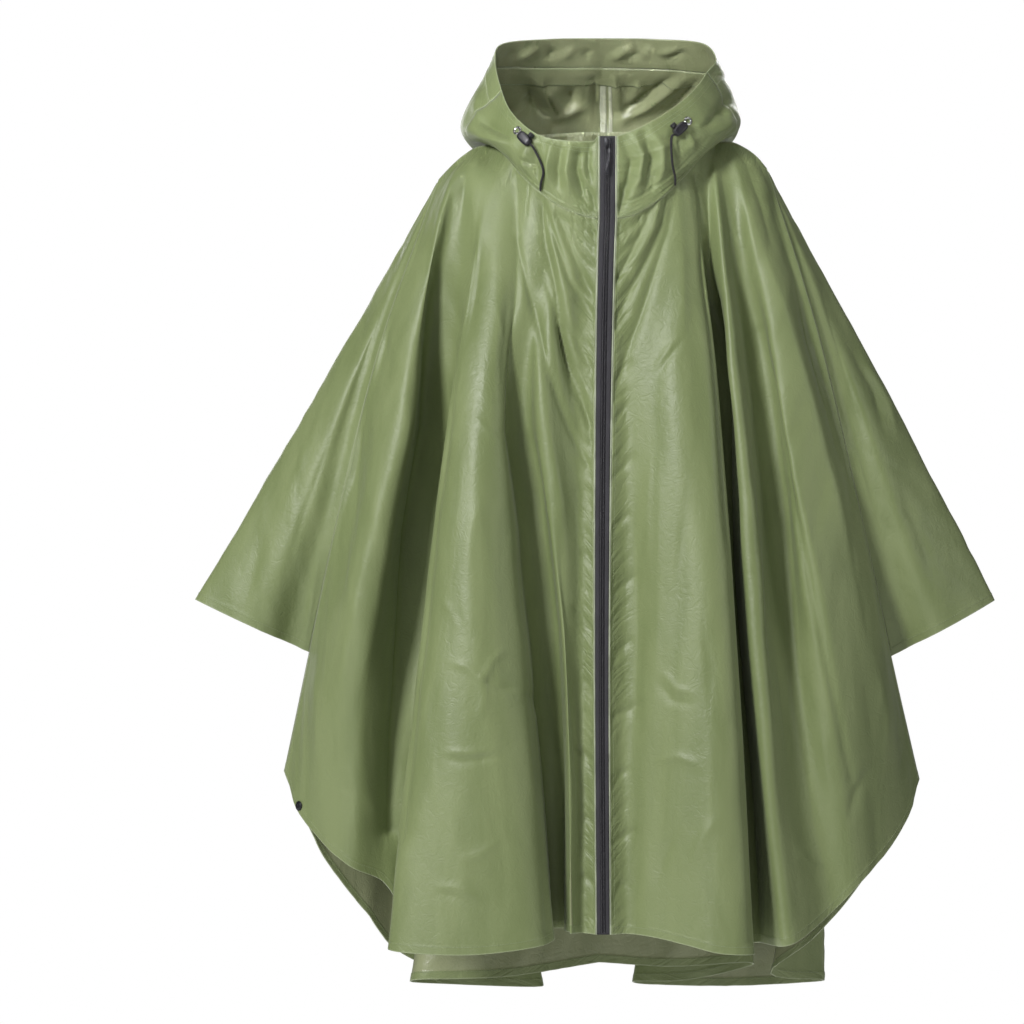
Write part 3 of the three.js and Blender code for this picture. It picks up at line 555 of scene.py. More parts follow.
def on_hood(side: Side, at: float, down: float) -> tuple[Array, Array, Array]:
    """A place on the hood, with the way down the cloth and the outward normal there."""
    step = 0.01
    grid = hood(side, np.array([at, at + step]), np.array([down, down + step]))
    place, below, beside = grid[0, 0], grid[1, 0] - grid[0, 0], grid[0, 1] - grid[0, 0]
    return place, unit(below), unit(np.cross(beside, below) * -side.value)


class Look(Enum):
    """The finishes, by the name of their material."""

    CLOTH = "cloth_outside"
    CLOTH_INSIDE = "cloth_inside"
    PIPING = "zip_edge_piping"
    TAPE = "zip_tape_weave"
    COIL = "zip_teeth_nylon"
    DARK_METAL = "dark_metal"
    BRIGHT_METAL = "bright_metal"
    PLASTIC = "cord_lock_plastic"
    CORD = "cord_braid"
    THREAD = "sewing_thread"
    SEAM_TAPE = "seam_tape"


class Nodes:
    """A short way to write a material's or a group's nodes."""

    def __init__(self, tree: bpy.types.NodeTree) -> None:
        """Starts on a node tree."""
        self.tree = tree

    def add(self, kind: str, settings: Optional[dict] = None, **inputs: object) -> bpy.types.Node:
        """Adds a node.

        Args:
            kind: the node's type.
            settings: attributes of the node, such as its operation.
            inputs: what feeds its sockets, as feed takes it.

        Returns:
            The node.
        """
        node = self.tree.nodes.new(kind)
        for name, value in (settings or {}).items():
            setattr(node, name, value)
        self.feed(node, **inputs)
        return node

    def feed(self, node: bpy.types.Node, **inputs: object) -> None:
        """Sets a node's sockets.

        Args:
            node: the node.
            inputs: values or other nodes' sockets, by the socket's name with _ for a space, or by i
                and its number.
        """
        for name, value in inputs.items():
            key = int(name[1:]) if name[0] == "i" and name[1:].isdigit() else name.replace("_", " ")
            socket = node.inputs[key]
            if isinstance(value, bpy.types.NodeSocket):
                self.tree.links.new(value, socket)
            else:
                socket.default_value = value

    def math(self, operation: str, first: object, second: object = 0.0) -> bpy.types.NodeSocket:
        """The result of a sum of two numbers or sockets."""
        return self.add("ShaderNodeMath", {"operation": operation}, i0=first, i1=second).outputs[0]

    def ramp(self, value: bpy.types.NodeSocket, low: float, high: float) -> bpy.types.NodeSocket:
        """The value's share of the way from low to high, held between 0 and 1."""
        return self.add("ShaderNodeMapRange", {"interpolation_type": "SMOOTHSTEP"},
                        Value=value, From_Min=low, From_Max=high).outputs[0]

    def spread(self, value: bpy.types.NodeSocket, low: float, high: float) -> bpy.types.NodeSocket:
        """A noise's middle range, 0.3 to 0.7, drawn out from low to high."""
        return self.add("ShaderNodeMapRange", Value=value, From_Min=0.3, From_Max=0.7,
                        To_Min=low, To_Max=high).outputs[0]

    def mark(self, name: str) -> bpy.types.NodeSocket:
        """A number that the piece's mesh carries."""
        return self.add("ShaderNodeAttribute", {"attribute_name": name}).outputs["Fac"]

    def bump(self, height: bpy.types.NodeSocket, strength: float, distance: float,
             **under: bpy.types.NodeSocket) -> bpy.types.NodeSocket:
        """A normal bent by a height, over another Normal where one is given."""
        return self.add("ShaderNodeBump", Height=height, Strength=strength, Distance=distance,
                        **under).outputs[0]

    def mix(self, share: object, first: object, second: object) -> bpy.types.NodeSocket:
        """A colour between two."""
        return self.add("ShaderNodeMix", {"data_type": "RGBA"}, i0=share, i6=first, i7=second).outputs[2]


def group(name: str, inputs: dict[str, float], outputs: Sequence[str],
          build: Callable[[Nodes, dict], dict]) -> bpy.types.NodeTree:
    """A shader node group with number inputs and outputs.

    Args:
        name: the group's name.
        inputs: each input's name and first value.
        outputs: the outputs' names.
        build: makes the nodes from the input sockets, and gives the output sockets by name.

    Returns:
        The group.
    """
    tree = bpy.data.node_groups.new(name, "ShaderNodeTree")
    for title, value in inputs.items():
        socket = tree.interface.new_socket(name=title, in_out="INPUT", socket_type="NodeSocketFloat")
        socket.default_value = value
    for title in outputs:
        tree.interface.new_socket(name=title, in_out="OUTPUT", socket_type="NodeSocketFloat")
    nodes = Nodes(tree)
    entry = tree.nodes.new("NodeGroupInput")
    leave = tree.nodes.new("NodeGroupOutput")
    made = build(nodes, {title: entry.outputs[title] for title in inputs})
    for title, socket in made.items():
        tree.links.new(socket, leave.inputs[title])
    return tree


def uv_parts(nodes: Nodes) -> tuple[bpy.types.NodeSocket, bpy.types.NodeSocket]:
    """The place along and down the cloth, from the surface's own UV map."""
    uv = nodes.add("ShaderNodeTexCoord").outputs["UV"]
    split = nodes.add("ShaderNodeSeparateXYZ", Vector=uv).outputs
    return split[0], split[1]


def weave_nodes(nodes: Nodes, given: dict) -> dict:
    """Plain weave: the product of two waves at right angles on the surface's own UV map."""
    waves = [nodes.math("SINE", nodes.math("MULTIPLY", part, given["Threads"])) for part in uv_parts(nodes)]
    return {"Height": nodes.math("MULTIPLY", waves[0], waves[1])}


def gather_nodes(nodes: Nodes, given: dict) -> dict:
    """Gathers: thin creases where a noise drawn out slantwise on the UV map passes through its middle."""
    along, down = uv_parts(nodes)
    here = nodes.mark("gather")
    slant = nodes.math("MULTIPLY", given["Slant"], nodes.math("SIGN", here))
    slanted = nodes.math("ADD", down, nodes.math("MULTIPLY", along, slant))
    place = nodes.add("ShaderNodeCombineXYZ", X=nodes.math("MULTIPLY", along, given["Along"]),
                      Y=nodes.math("MULTIPLY", slanted, given["Across"]), Z=0.0).outputs[0]
    hills = nodes.add("ShaderNodeTexNoise", {"noise_dimensions": "3D"}, Vector=place, Scale=1.0,
                      Detail=2.0, Roughness=0.5, Distortion=0.6).outputs[0]
    away = nodes.math("ABSOLUTE", nodes.math("SUBTRACT", hills, 0.5))
    crease = nodes.math("SUBTRACT", 1.0, nodes.ramp(away, 0.0, 0.11))
    sunk = nodes.math("MULTIPLY", crease, nodes.math("ABSOLUTE", here))
    return {"Height": nodes.math("MULTIPLY", sunk, -1.0)}


def crumple_nodes(nodes: Nodes, given: dict) -> dict:
    """Crumple: ridged hills stretched down the garment, with finer cross wrinkles under them; the long hills
    also come out alone, to paint shade into a colour.
    """
    place = nodes.add("ShaderNodeTexCoord").outputs["Object"]
    scale = nodes.add("ShaderNodeCombineXYZ", X=1.0, Y=1.0, Z=given["Stretch"]).outputs[0]
    turned = nodes.add("ShaderNodeVectorMath", {"operation": "MULTIPLY"}, i0=place, i1=scale).outputs[0]
    long = nodes.add("ShaderNodeTexNoise", {"noise_dimensions": "3D"}, Vector=turned,
                     Scale=given["Scale"], Detail=3.0, Roughness=0.55, Distortion=0.6).outputs[0]
    fine = nodes.add("ShaderNodeTexNoise", {"noise_dimensions": "3D"}, Vector=place,
                     Scale=nodes.math("MULTIPLY", given["Scale"], 3.1), Detail=4.0,
                     Roughness=0.6, Distortion=1.2).outputs[0]
    ridge = nodes.math("ABSOLUTE", nodes.math("SUBTRACT", fine, 0.5))
    height = nodes.math("SUBTRACT", long, nodes.math("MULTIPLY", ridge, 0.6))
    return {"Height": height, "Mask": long}


EDGE_HIGHLIGHT = (0.33, 0.37, 0.24, 1)  # painted highlight: the lighter fold along seams and hems, where light catches the edge
OUTER_COLOURS = ((0.146, 0.182, 0.074, 1), (0.176, 0.214, 0.092, 1))  # the satin outer face, lower in the crumples' hollows as painted shade
INNER_COLOURS_PAINTED_FILL = ((0.20, 0.222, 0.118, 1), (0.25, 0.272, 0.152, 1))  # the coated inner face, lightened as painted fill light and lower in the crumples' hollows as painted shade


@dataclass
class Finishes:
    """Every material of the poncho, each made once.

    Attributes:
        ribbons: colour, roughness and threads of each woven ribbon.
        fittings: colour, roughness and metal of each small part.
    """

    made: dict[Look, bpy.types.Material] = field(default_factory=dict)
    groups: dict[str, bpy.types.NodeTree] = field(default_factory=dict)
    ribbons: tuple = (
        (Look.PIPING, (0.30, 0.33, 0.24, 1), 0.55, 3600.0),
        (Look.TAPE, (0.016, 0.015, 0.020, 1), 0.62, 5200.0),
        (Look.SEAM_TAPE, (0.42, 0.44, 0.33, 1), 0.42, 4400.0))
    fittings: tuple = (
        (Look.COIL, (0.012, 0.011, 0.015, 1), 0.34, 0.0),
        (Look.DARK_METAL, (0.018, 0.018, 0.022, 1), 0.38, 0.5),
        (Look.BRIGHT_METAL, (0.5, 0.5, 0.49, 1), 0.24, 1.0),
        (Look.PLASTIC, (0.0075, 0.0068, 0.011, 1), 0.40, 0.0),
        (Look.CORD, (0.010, 0.009, 0.012, 1), 0.75, 0.0),
        (Look.THREAD, (0.26, 0.31, 0.17, 1), 0.55, 0.0))

    def __post_init__(self) -> None:
        """Makes the shared effects and then the materials."""
        for name, inputs, outputs, build in (
            ("weave", {"Threads": 4200.0}, ["Height"], weave_nodes),
            ("crumple", {"Scale": 20.0, "Stretch": 0.25}, ["Height", "Mask"], crumple_nodes),
            ("gathers", {"Slant": 0.9, "Along": 24.0, "Across": 58.0}, ["Height"], gather_nodes),
        ):
            self.groups[name] = group(name, inputs, outputs, build)
        self.cloth(Look.CLOTH, OUTER_COLOURS, (0.42, 0.52), 0.08)
        # The inner face's coated tone, lightened as painted fill light for the hood's shaded inside.
        self.cloth(Look.CLOTH_INSIDE, INNER_COLOURS_PAINTED_FILL, (0.26, 0.34), 0.05)
        for ribbon in self.ribbons:
            self.woven(*ribbon)
        for fitting in self.fittings:
            self.plain(*fitting)

    def start(self, look: Look) -> tuple[Nodes, bpy.types.Node]:
        """Starts a finish: an empty node material, kept under its name, and its shader."""
        material = bpy.data.materials.new(look.value)
        material.use_nodes = True
        self.made[look] = material
        return Nodes(material.node_tree), material.node_tree.nodes["Principled BSDF"]

    def effect(self, nodes: Nodes, name: str, **values: float) -> bpy.types.NodeInputs:
        """Places a shared effect in a material with its own values, and gives its outputs."""
        return nodes.add("ShaderNodeGroup", {"node_tree": self.groups[name]}, **values).outputs

    def cloth(self, look: Look, colours: tuple, rough: tuple[float, float], sheen: float) -> None:
        """Coated taffeta: fine weave, gathers, long crumples, painted shade that darkens the colour in the
        crumples' hollows, and a painted highlight along the edges.

        Args:
            look: the finish's name.
            colours: the colour in the crumples' hollows and on their rises, a painted shade.
            rough: roughness from and to.
            sheen: weight of the soft sheen.
        """
        nodes, shader = self.start(look)
        crumple = self.effect(nodes, "crumple", Scale=22.0, Stretch=0.22)
        weave = self.effect(nodes, "weave", Threads=5200.0)
        gathers = self.effect(nodes, "gathers", Slant=0.9)
        # Painted shade: the lower colour in the crumples' hollows, the upper on their rises.
        crumple_shaded = nodes.mix(nodes.ramp(crumple["Mask"], 0.3, 0.7), *colours)
        # Painted highlight: lighter within EDGE_REACH of the cloth's edges, along seams and hems.
        wear_and_edge_highlight = nodes.math("MULTIPLY", nodes.ramp(nodes.mark("edge"), 0.1, 0.9), 0.45)
        wide = nodes.bump(crumple["Height"], 0.4, 0.004)
        sewn = nodes.bump(gathers["Height"], 0.5, 0.0016, Normal=wide)
        nodes.feed(shader, Base_Color=nodes.mix(wear_and_edge_highlight, crumple_shaded, EDGE_HIGHLIGHT),
                   Roughness=nodes.spread(crumple["Mask"], *rough),
                   Sheen_Weight=sheen, Sheen_Roughness=0.45, Specular_IOR_Level=0.4,
                   Normal=nodes.bump(weave["Height"], 0.03, 0.0002, Normal=sewn))

    def woven(self, look: Look, colour: tuple, rough: float, threads: float) -> None:
        """A narrow ribbon: a coarse weave in its bump, painted shade that darkens the colour between the
        threads and in the crumples' hollows, and a painted highlight on their rises.
        """
        nodes, shader = self.start(look)
        weave = self.effect(nodes, "weave", Threads=threads)
        crumple = self.effect(nodes, "crumple", Scale=60.0, Stretch=0.5)
        darker, rise_highlight = (tuple(channel * share for channel in colour[:3]) + (1.0,) for share in (0.55, 1.25))
        # Painted shade: darker in the weave's hollows between the threads.
        shade = nodes.mix(nodes.ramp(weave["Height"], -1.0, 0.6), darker, colour)
        wide = nodes.bump(crumple["Height"], 0.3, 0.001)
        # Painted highlight and shade: lighter on the crumples' rises, the thread shade in their hollows.
        nodes.feed(shader, Base_Color=nodes.mix(nodes.ramp(crumple["Mask"], 0.4, 0.7), shade, rise_highlight),
                   Roughness=rough, Normal=nodes.bump(weave["Height"], 0.35, 0.0003, Normal=wide))

    def plain(self, look: Look, colour: tuple, rough: float, metal: float) -> None:
        """A small part's finish: its colour broken up by grain and lighter where its edges are rubbed."""
        nodes, shader = self.start(look)
        place = nodes.add("ShaderNodeTexCoord").outputs["Object"]
        grain = nodes.add("ShaderNodeTexNoise", Vector=place, Scale=900.0, Detail=3.0).outputs[0]
        darker = tuple(channel * 0.72 for channel in colour[:3]) + (1.0,)
        wear_and_edge_highlight = tuple(min(1.0, channel * 2.2 + 0.01) for channel in colour[:3]) + (1.0,)
        edge = nodes.ramp(nodes.mark("edge"), 0.3, 1.0)
        rubbed = nodes.math("MULTIPLY", edge, nodes.ramp(grain, 0.35, 0.6))
        colour = nodes.mix(nodes.math("MULTIPLY", rubbed, 0.6), nodes.mix(grain, darker, colour), wear_and_edge_highlight)
        nodes.feed(shader, Base_Color=colour, Metallic=metal, Normal=nodes.bump(grain, 0.15, 0.0002),
                   Roughness=nodes.spread(grain, rough * 0.85, min(1.0, rough * 1.2)))


def new_piece(name: str, vertices: Array, faces: Sequence[Array], looks: Sequence[Look], finishes: Finishes,
              face_looks: Optional[Array] = None, flat: Optional[Array] = None,
              uv: Optional[Array] = None, marks: Optional[dict[str, Array]] = None,
              body: str = BODY) -> bpy.types.Object:
    """Makes a piece from arrays, at the origin, in metres.

    Args:
        name: the piece's name.
        vertices: (n, 3) places in millimetres.
        faces: arrays of faces, each (m, 3) or (m, 4).
        looks: the materials that it uses.
        finishes: the materials' maker.
        face_looks: which of the looks each face has.
        flat: which faces are shaded flat.
        uv: (n, 2) places on the cloth, in metres.
        marks: (n,) numbers that its finish reads, by name: "edge" is how near an edge lies, where
                cloth gets a painted highlight and a fitting lighter, rubbed wear, and "gather" how much
                the cloth is puckered there, from 0 to 1, or to -1 where it slants the other way.
        body: the body it rides on.

    Returns:
        The object.
    """
    mesh = bpy.data.meshes.new(name)
    sizes = np.concatenate([np.full(len(part), part.shape[1]) for part in faces])
    corners = np.concatenate([part.ravel() for part in faces]).astype(np.int32)
    mesh.vertices.add(len(vertices))
    mesh.vertices.foreach_set("co", (vertices * MM).astype(np.float32).ravel())
    mesh.loops.add(len(corners))
    mesh.loops.foreach_set("vertex_index", corners)
    mesh.polygons.add(len(sizes))
    mesh.polygons.foreach_set("loop_start", np.concatenate([[0], np.cumsum(sizes)[:-1]]).astype(np.int32))
    mesh.polygons.foreach_set("use_smooth", np.ones(len(sizes), bool) if flat is None else ~flat)
    if face_looks is not None:
        mesh.polygons.foreach_set("material_index", face_looks.astype(np.int32))
    if uv is not None:
        layer = mesh.uv_layers.new(name="UVMap")
        layer.data.foreach_set("uv", uv[corners].astype(np.float32).ravel())
    for mark, values in (marks or {}).items():
        mesh.attributes.new(mark, "FLOAT", "POINT").data.foreach_set("value", values.astype(np.float32))
    mesh.update(calc_edges=True)
    mesh.validate()
    for look in looks:
        mesh.materials.append(finishes.made[look])
    piece = bpy.data.objects.new(name, mesh)
    bpy.context.scene.collection.objects.link(piece)
    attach(piece, body)
    return piece


def quads(index: Array) -> Array:
    """Four-sided faces between the rows and columns of a grid of vertex numbers."""
    corners = [index[:-1, :-1], index[:-1, 1:], index[1:, 1:], index[1:, :-1]]
    return np.stack(corners, axis=-1).reshape(-1, 4)


def wrapped(index: Array) -> Array:
    """A grid of vertex numbers with its first column again after its last."""
    return np.concatenate([index, index[:, :1]], axis=1)


def fan(point: int, first: Array, second: Array) -> Array:
    """Three-sided faces from one vertex to pairs of others."""
    return np.stack([np.full(len(first), point), first, second], axis=1)


def capped(rings: int, sides: int) -> list[Array]:
    """Faces of a stack of rings whose two ends are closed by a fan to a middle vertex.

    Vertices are numbered ring by ring, then the middle of the first end and that of the last.
    """
    count = rings * sides
    index = wrapped(np.arange(count).reshape(rings, sides))
    return [quads(index), fan(count, index[0, 1:], index[0, :-1]),
            fan(count + 1, index[-1, :-1], index[-1, 1:])]


def closed_shell(outer: Array, thickness: Array) -> tuple[Array, list[Array], Array, Array]:
    """A closed thin shell as arrays.

    The inner face is the outer one moved in along its normals by the thickness, and a rim of faces
    joins them along the four edges.

    Args:
        outer: (r, c, 3) the outer face, in millimetres.
        thickness: (r, c) thickness.

    Returns:
        The vertices; the outer, inner and rim faces; the UV places; and how near each vertex is to
        the cloth's edge, from 0 to 1.
    """
    rows, columns = outer.shape[:2]
    inner = outer - surface_normals(outer) * thickness[..., None]
    count = rows * columns
    index = np.arange(count).reshape(rows, columns)
    ring = np.concatenate([index[0, :-1], index[:-1, -1], index[-1, :0:-1], index[:0:-1, 0]])
    ahead = np.roll(ring, -1)
    rim = np.stack([ahead, ring, ring + count, ahead + count], axis=1)
    across, fall = lengths_along(outer, 1), lengths_along(outer, 0)
    along = across.mean(axis=0)[None] * np.ones((rows, 1)) * MM
    down = fall.mean(axis=1)[:, None] * np.ones((1, columns)) * MM
    uv = np.stack([along, down], axis=-1).reshape(-1, 2)
    near = np.minimum.reduce([across, across[:, -1:] - across, fall, fall[-1:] - fall])
    edge = np.clip(1 - near / EDGE_REACH, 0, 1).ravel()
    return (np.concatenate([outer.reshape(-1, 3), inner.reshape(-1, 3)]),
            [quads(index), quads(index + count)[:, ::-1], rim],
            np.concatenate([uv, uv]), np.concatenate([edge, edge]))


def shell(name: str, outer: Array, thickness: Array, finishes: Finishes,
          turned_in: Optional[Array] = None, looks: Sequence[Look] = (Look.CLOTH, Look.CLOTH_INSIDE),
          gather: Optional[Array] = None) -> bpy.types.Object:
    """A thin closed shell of cloth.

    Args:
        name: the piece's name.
        outer: (r, c, 3) the outer face, in millimetres.
        thickness: (r, c) thickness.
        finishes: the materials' maker.
        turned_in: (r, c) true where the outer cloth is turned to the inside, as in a hem.
        looks: the outer and the inner finish.
        gather: (r, c) how puckered the cloth is, from 0 to 1.

    Returns:
        The object.
    """
    vertices, faces, uv, edge = closed_shell(outer, thickness)
    pucker = np.zeros(outer.shape[:2]) if gather is None else gather
    marks = {"edge": edge, "gather": np.concatenate([pucker.ravel()] * 2)}
    inside_look = np.ones((outer.shape[0] - 1, outer.shape[1] - 1), int)
    if turned_in is not None:
        inside_look[turned_in[:-1, :-1] & turned_in[1:, 1:]] = 0
    looks_of = np.concatenate([np.zeros(len(faces[0])), inside_look.ravel(), np.zeros(len(faces[2]))])
    flat = np.repeat([False, False, True], [len(part) for part in faces])
    return new_piece(name, vertices, faces, looks, finishes, looks_of, flat, uv, marks)


def tube(path: Array, radius: object, sides: int) -> tuple[Array, list[Array]]:
    """A tube along a path, closed at both ends.

    Rings stand square to the path. Each ring's first direction is the last one's, made square to the
    path again, so that the tube doesn't twist.

    Args:
        path: (n, 3) points.
        radius: one radius, or (n, 1) or (n, sides) of them.
        sides: corners of each ring.

    Returns:
        The vertices, and the faces.
    """
    heading = unit(np.gradient(path, axis=0))
    side = np.cross(heading[0], [0.31, 0.17, 0.93])
    frames = []
    for direction in heading:
        side = unit(side - direction * (side @ direction))
        frames.append((side, np.cross(direction, side)))
    first, second = (np.array([pair[k] for pair in frames])[:, None] for k in (0, 1))
    angle = circle(sides)[None, :, None]
    size = np.broadcast_to(np.asarray(radius, float), (len(path), sides))[..., None]
    rings = path[:, None] + size * (first * np.cos(angle) + second * np.sin(angle))
    return np.concatenate([rings.reshape(-1, 3), path[:1], path[-1:]]), capped(len(path), sides)


def oval(middle: tuple[float, float], reach: tuple[float, float], corners: int) -> Array:
    """A flat oval: its middle plus its two half sizes times the cosine and the sine."""
    angle = circle(corners)
    return np.stack([middle[0] + reach[0] * np.cos(angle), middle[1] + reach[1] * np.sin(angle)], axis=1)


def rounded_outline(width: float, height: float, squareness: float, corners: int = 48) -> Array:
    """A superellipse: each half size times the cosine or sine, raised to 2 over the squareness."""
    wave = oval((0.0, 0.0), (1.0, 1.0), corners)
    return np.sign(wave) * np.abs(wave) ** (2 / squareness) * np.array([width, height]) / 2


def layered(line: Array, layers: Sequence[tuple[float, float]], sign: float = 1.0) -> list[Array]:
    """A closed flat line carried through layers of inset and height, moved in, or out at a sign of -1."""
    tangent = unit(np.roll(line, -1, axis=0) - np.roll(line, 1, axis=0))
    inward = np.stack([-tangent[:, 1], tangent[:, 0]], axis=1) * sign
    return [np.column_stack([line + inward * inset, np.full(len(line), height)])
            for inset, height in layers]


def edge_marks(levels: int, count: int) -> Array:
    """A mark of 1 on the second and the last but one of the layers, where a moulding's edges are."""
    return np.repeat(np.isin(np.arange(levels), (1, levels - 2)).astype(float), count)


def lofted(outline: Array, layers: Sequence[tuple[float, float]]) -> tuple[Array, list[Array], Array]:
    """A moulded solid: an outline carried through layers, each drawn in and set at its own height.

    Args:
        outline: (n, 2) points, anticlockwise as seen from above.
        layers: inset and height of each layer, upwards.

    Returns:
        The vertices, the faces, and the edge marks.
    """
    count, levels = len(outline), len(layers)
    ends = [[*outline.mean(axis=0), layers[k][1]] for k in (0, -1)]
    marks = np.concatenate([edge_marks(levels, count), [0.0, 0.0]])
    return np.concatenate([*layered(outline, layers), ends]), capped(levels, count), marks


def pierced(outline: Array, hole: Array,
            layers: Sequence[tuple[float, float]]) -> tuple[Array, list[Array], Array]:
    """A moulded plate with a hole: both outlines carried through layers, joined by flat ends.

    Args:
        outline: (n, 2) points of the outside, anticlockwise.
        hole: (n, 2) points of the hole, in the same order.
        layers: inset and height of each layer; the hole is widened by the same inset.

    Returns:
        The vertices, the faces, and the edge marks.
    """
    count, levels = len(outline), len(layers)
    index = wrapped(np.arange(2 * levels * count).reshape(2 * levels, count))
    pairs = [(k, k + 1) for k in range(levels - 1)] + [(k + 1, k) for k in range(levels, 2 * levels - 1)]
    pairs += [(levels - 1, 2 * levels - 1), (levels, 0)]
    walls = np.concatenate([quads(index[list(pair)]) for pair in pairs])
    rings = layered(outline, layers) + layered(hole, layers, -1.0)
    return np.concatenate(rings), [walls], np.tile(edge_marks(levels, count), 2)


def turned(profile: Array, sides: int = 40) -> tuple[Array, list[Array], Array]:
    """A turned ring: a closed profile of radii and heights, anticlockwise, carried round the z axis.

    Returns:
        The vertices; the faces; and a mark that is 1 on the profile's highest points.
    """
    angle = circle(sides)[:, None]
    x, y = profile[:, 0] * np.cos(angle), profile[:, 0] * np.sin(angle)
    vertices = np.stack([x, y, np.broadcast_to(profile[:, 1], x.shape)], axis=-1).reshape(-1, 3)
    index = wrapped(np.arange(sides * len(profile)).reshape(sides, -1))
    walls = quads(np.concatenate([index, index[:1]]))[:, [0, 3, 2, 1]]
    high = (profile[:, 1] > profile[:, 1].max() - 0.2).astype(float)
    return vertices, [walls], np.tile(high, sides)


def axes_on(along: Array, normal: Array) -> Array:
    """Directions of a fitting on the cloth: square to a way along it, close to that way, and outwards."""
    x = np.cross(along, normal)
    return np.array([unit(x), np.cross(normal, x), normal])


@dataclass
class Fitting:
    """A small hard piece, put together from moulded, turned and bent shapes in one frame.

    Attributes:
        origin: its own zero, in millimetres.
        axes: the directions of its x, y and z, as rows.
    """

    origin: Array
    axes: Array
    vertices: list[Array] = field(default_factory=list)
    faces: list[Array] = field(default_factory=list)
    wear_and_edge_highlight: list[Array] = field(default_factory=list)
    used: int = 0

    def put(self, shape: tuple, shift: Sequence[float] = (0.0, 0.0, 0.0),
            turn: Optional[Sequence[Sequence[float]]] = None) -> None:
        """Adds a shape.

        Args:
            shape: its vertices, its faces and, where it has them, its edge marks.
            shift: its place in this frame.
            turn: (3, 3) directions of its own x, y and z in this frame, as rows.
        """
        vertices, faces, *marks = shape
        placed = vertices if turn is None else vertices @ np.asarray(turn, float)
        self.vertices.append(self.origin + (placed + np.asarray(shift, float)) @ self.axes)
        self.faces += [part + self.used for part in faces]
        self.wear_and_edge_highlight.append(marks[0] if marks else np.zeros(len(vertices)))
        self.used += len(vertices)

    def finish(self, name: str, look: Look, finishes: Finishes, node: str,
               body: str = BODY) -> bpy.types.Object:
        """Makes the piece and lets it stand for its solid."""
        piece = new_piece(name, np.concatenate(self.vertices), self.faces, [look], finishes,
                          marks={"edge": np.concatenate(self.wear_and_edge_highlight)}, body=body)
        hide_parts(node)
        return piece


def repeated(vertices: Array, faces: Sequence[Array], origins: Array,
             axes: Array) -> tuple[Array, list[Array]]:
    """Copies of a small shape, each set at its own origin and turned to its own axes.

    Args:
        vertices: (k, 3) the shape.
        faces: its faces.
        origins: (n, 3) where the copies go.
        axes: (n, 3, 3) the directions of x, y and z of each copy, as rows.

    Returns:
        The vertices, and the faces.
    """
    count = len(origins)
    placed = origins[:, None] + np.einsum("kd,ndj->nkj", vertices, axes)
    shift = (np.arange(count) * len(vertices))[:, None, None]
    return placed.reshape(-1, 3), [(part[None] + shift).reshape(-1, part.shape[1]) for part in faces]


def stitch_shape(length: float, thick: float) -> tuple[Array, list[Array]]:
    """One stitch along x: a low pillow of five sides, pointed at both ends and sunk by half."""
    sides = 5
    ring = oval((0.0, 0.0), (thick / 2, thick / 2), sides)
    rings = [np.column_stack([np.full(sides, x), ring]) for x in (-0.3 * length, 0.3 * length)]
    ends = [[x, 0, -thick / 3] for x in (-length / 2, length / 2)]
    return np.concatenate([*rings, ends]), capped(2, sides)


@dataclass
class Sewing:
    """Topstitching, gathered as it is laid and made one mesh at the end."""

    length: float = 2.7
    pitch: float = 3.3
    thick: float = 0.55
    vertices: list[Array] = field(default_factory=list)
    faces: list[list[Array]] = field(default_factory=list)
    used: int = 0

    def lay(self, line: Array, normals: Array) -> None:
        """Sews along a line on the cloth.

        Stitches lie at an even pitch of length along the line, each turned to the line and standing
        on the cloth's normal there.

        Args:
            line: (n, 3) points.
            normals: (n, 3) the cloth's normals there.
        """
        run = run_of(line)
        at = np.arange(self.pitch, run[-1] - self.pitch, self.pitch)
        point = read_off(line, run, at)
        x = unit(read_off(line, run, at + self.pitch / 2) - point)
        y = unit(np.cross(read_off(normals, run, at), x))
        z = np.cross(x, y)
        shape, parts = stitch_shape(self.length, self.thick)
        vertices, faces = repeated(shape, parts, point + z * self.thick * 0.15, np.stack([x, y, z], axis=1))
        self.vertices.append(vertices)
        self.faces.append([part + self.used for part in faces])
        self.used += len(vertices)

    def finish(self, name: str, finishes: Finishes) -> bpy.types.Object:
        """Makes the mesh of all stitches laid so far."""
        faces = [np.concatenate([part[k] for part in self.faces]) for k in range(3)]
        return new_piece(name, np.concatenate(self.vertices), faces, [Look.THREAD], finishes)


def even_places(side: Side, face: int, count: int, fine: Callable[[Array], Array]) -> Array:
    """Places across a panel that are evenly spaced along the cloth.

    The mean length across is measured on a close grid, weighed by how fine each part is wanted, and
    its total is split evenly.

    Args:
        side: the wearer's side.
        face: -1 for the front, 1 for the back.
        count: how many places.
        fine: weight for each length across, 1 where nothing special is wanted.

    Returns:
        (count,) places, from 0 to the last.
    """
    folds = len((FRONT_FOLDS if face < 0 else BACK_FOLDS)[side])
    close = np.linspace(0.0, folds, folds * 24 + 1)
    length = lengths_along(panel(side, face, close, np.linspace(0, 1, 24)), 1)
    mean = length[len(length) // 3:].mean(axis=0)
    weighed = np.concatenate([[0.0], np.cumsum(np.diff(mean) * fine((mean[1:] + mean[:-1]) / 2))])
    return np.interp(np.linspace(0.0, weighed[-1], count), weighed, close)


EDGE_REACH = 2.2  # how far the lighter edge reaches into the cloth: painted highlight on cloth, rubbed wear on the coil strip
HEM_BAND = 11.0  # depth of the turned and stitched hem
HEM_STITCH = 9.0
HEM_RISE = 0.7
HEM_PROUD = 0.4  # how much of that rise shows outside


def hem_shares(length: float, count: int) -> Array:
    """Shares from 0 to 1, even down the cloth and close over the hem band."""
    close = 1 - np.array([14.0, 12.4, 11.4, 10.4, 9.0, 7.0, 4.5, 2.0, 0.6, 0.0]) / length
    return np.concatenate([np.linspace(0.0, close[0] - 3 / length, count - len(close)), close])


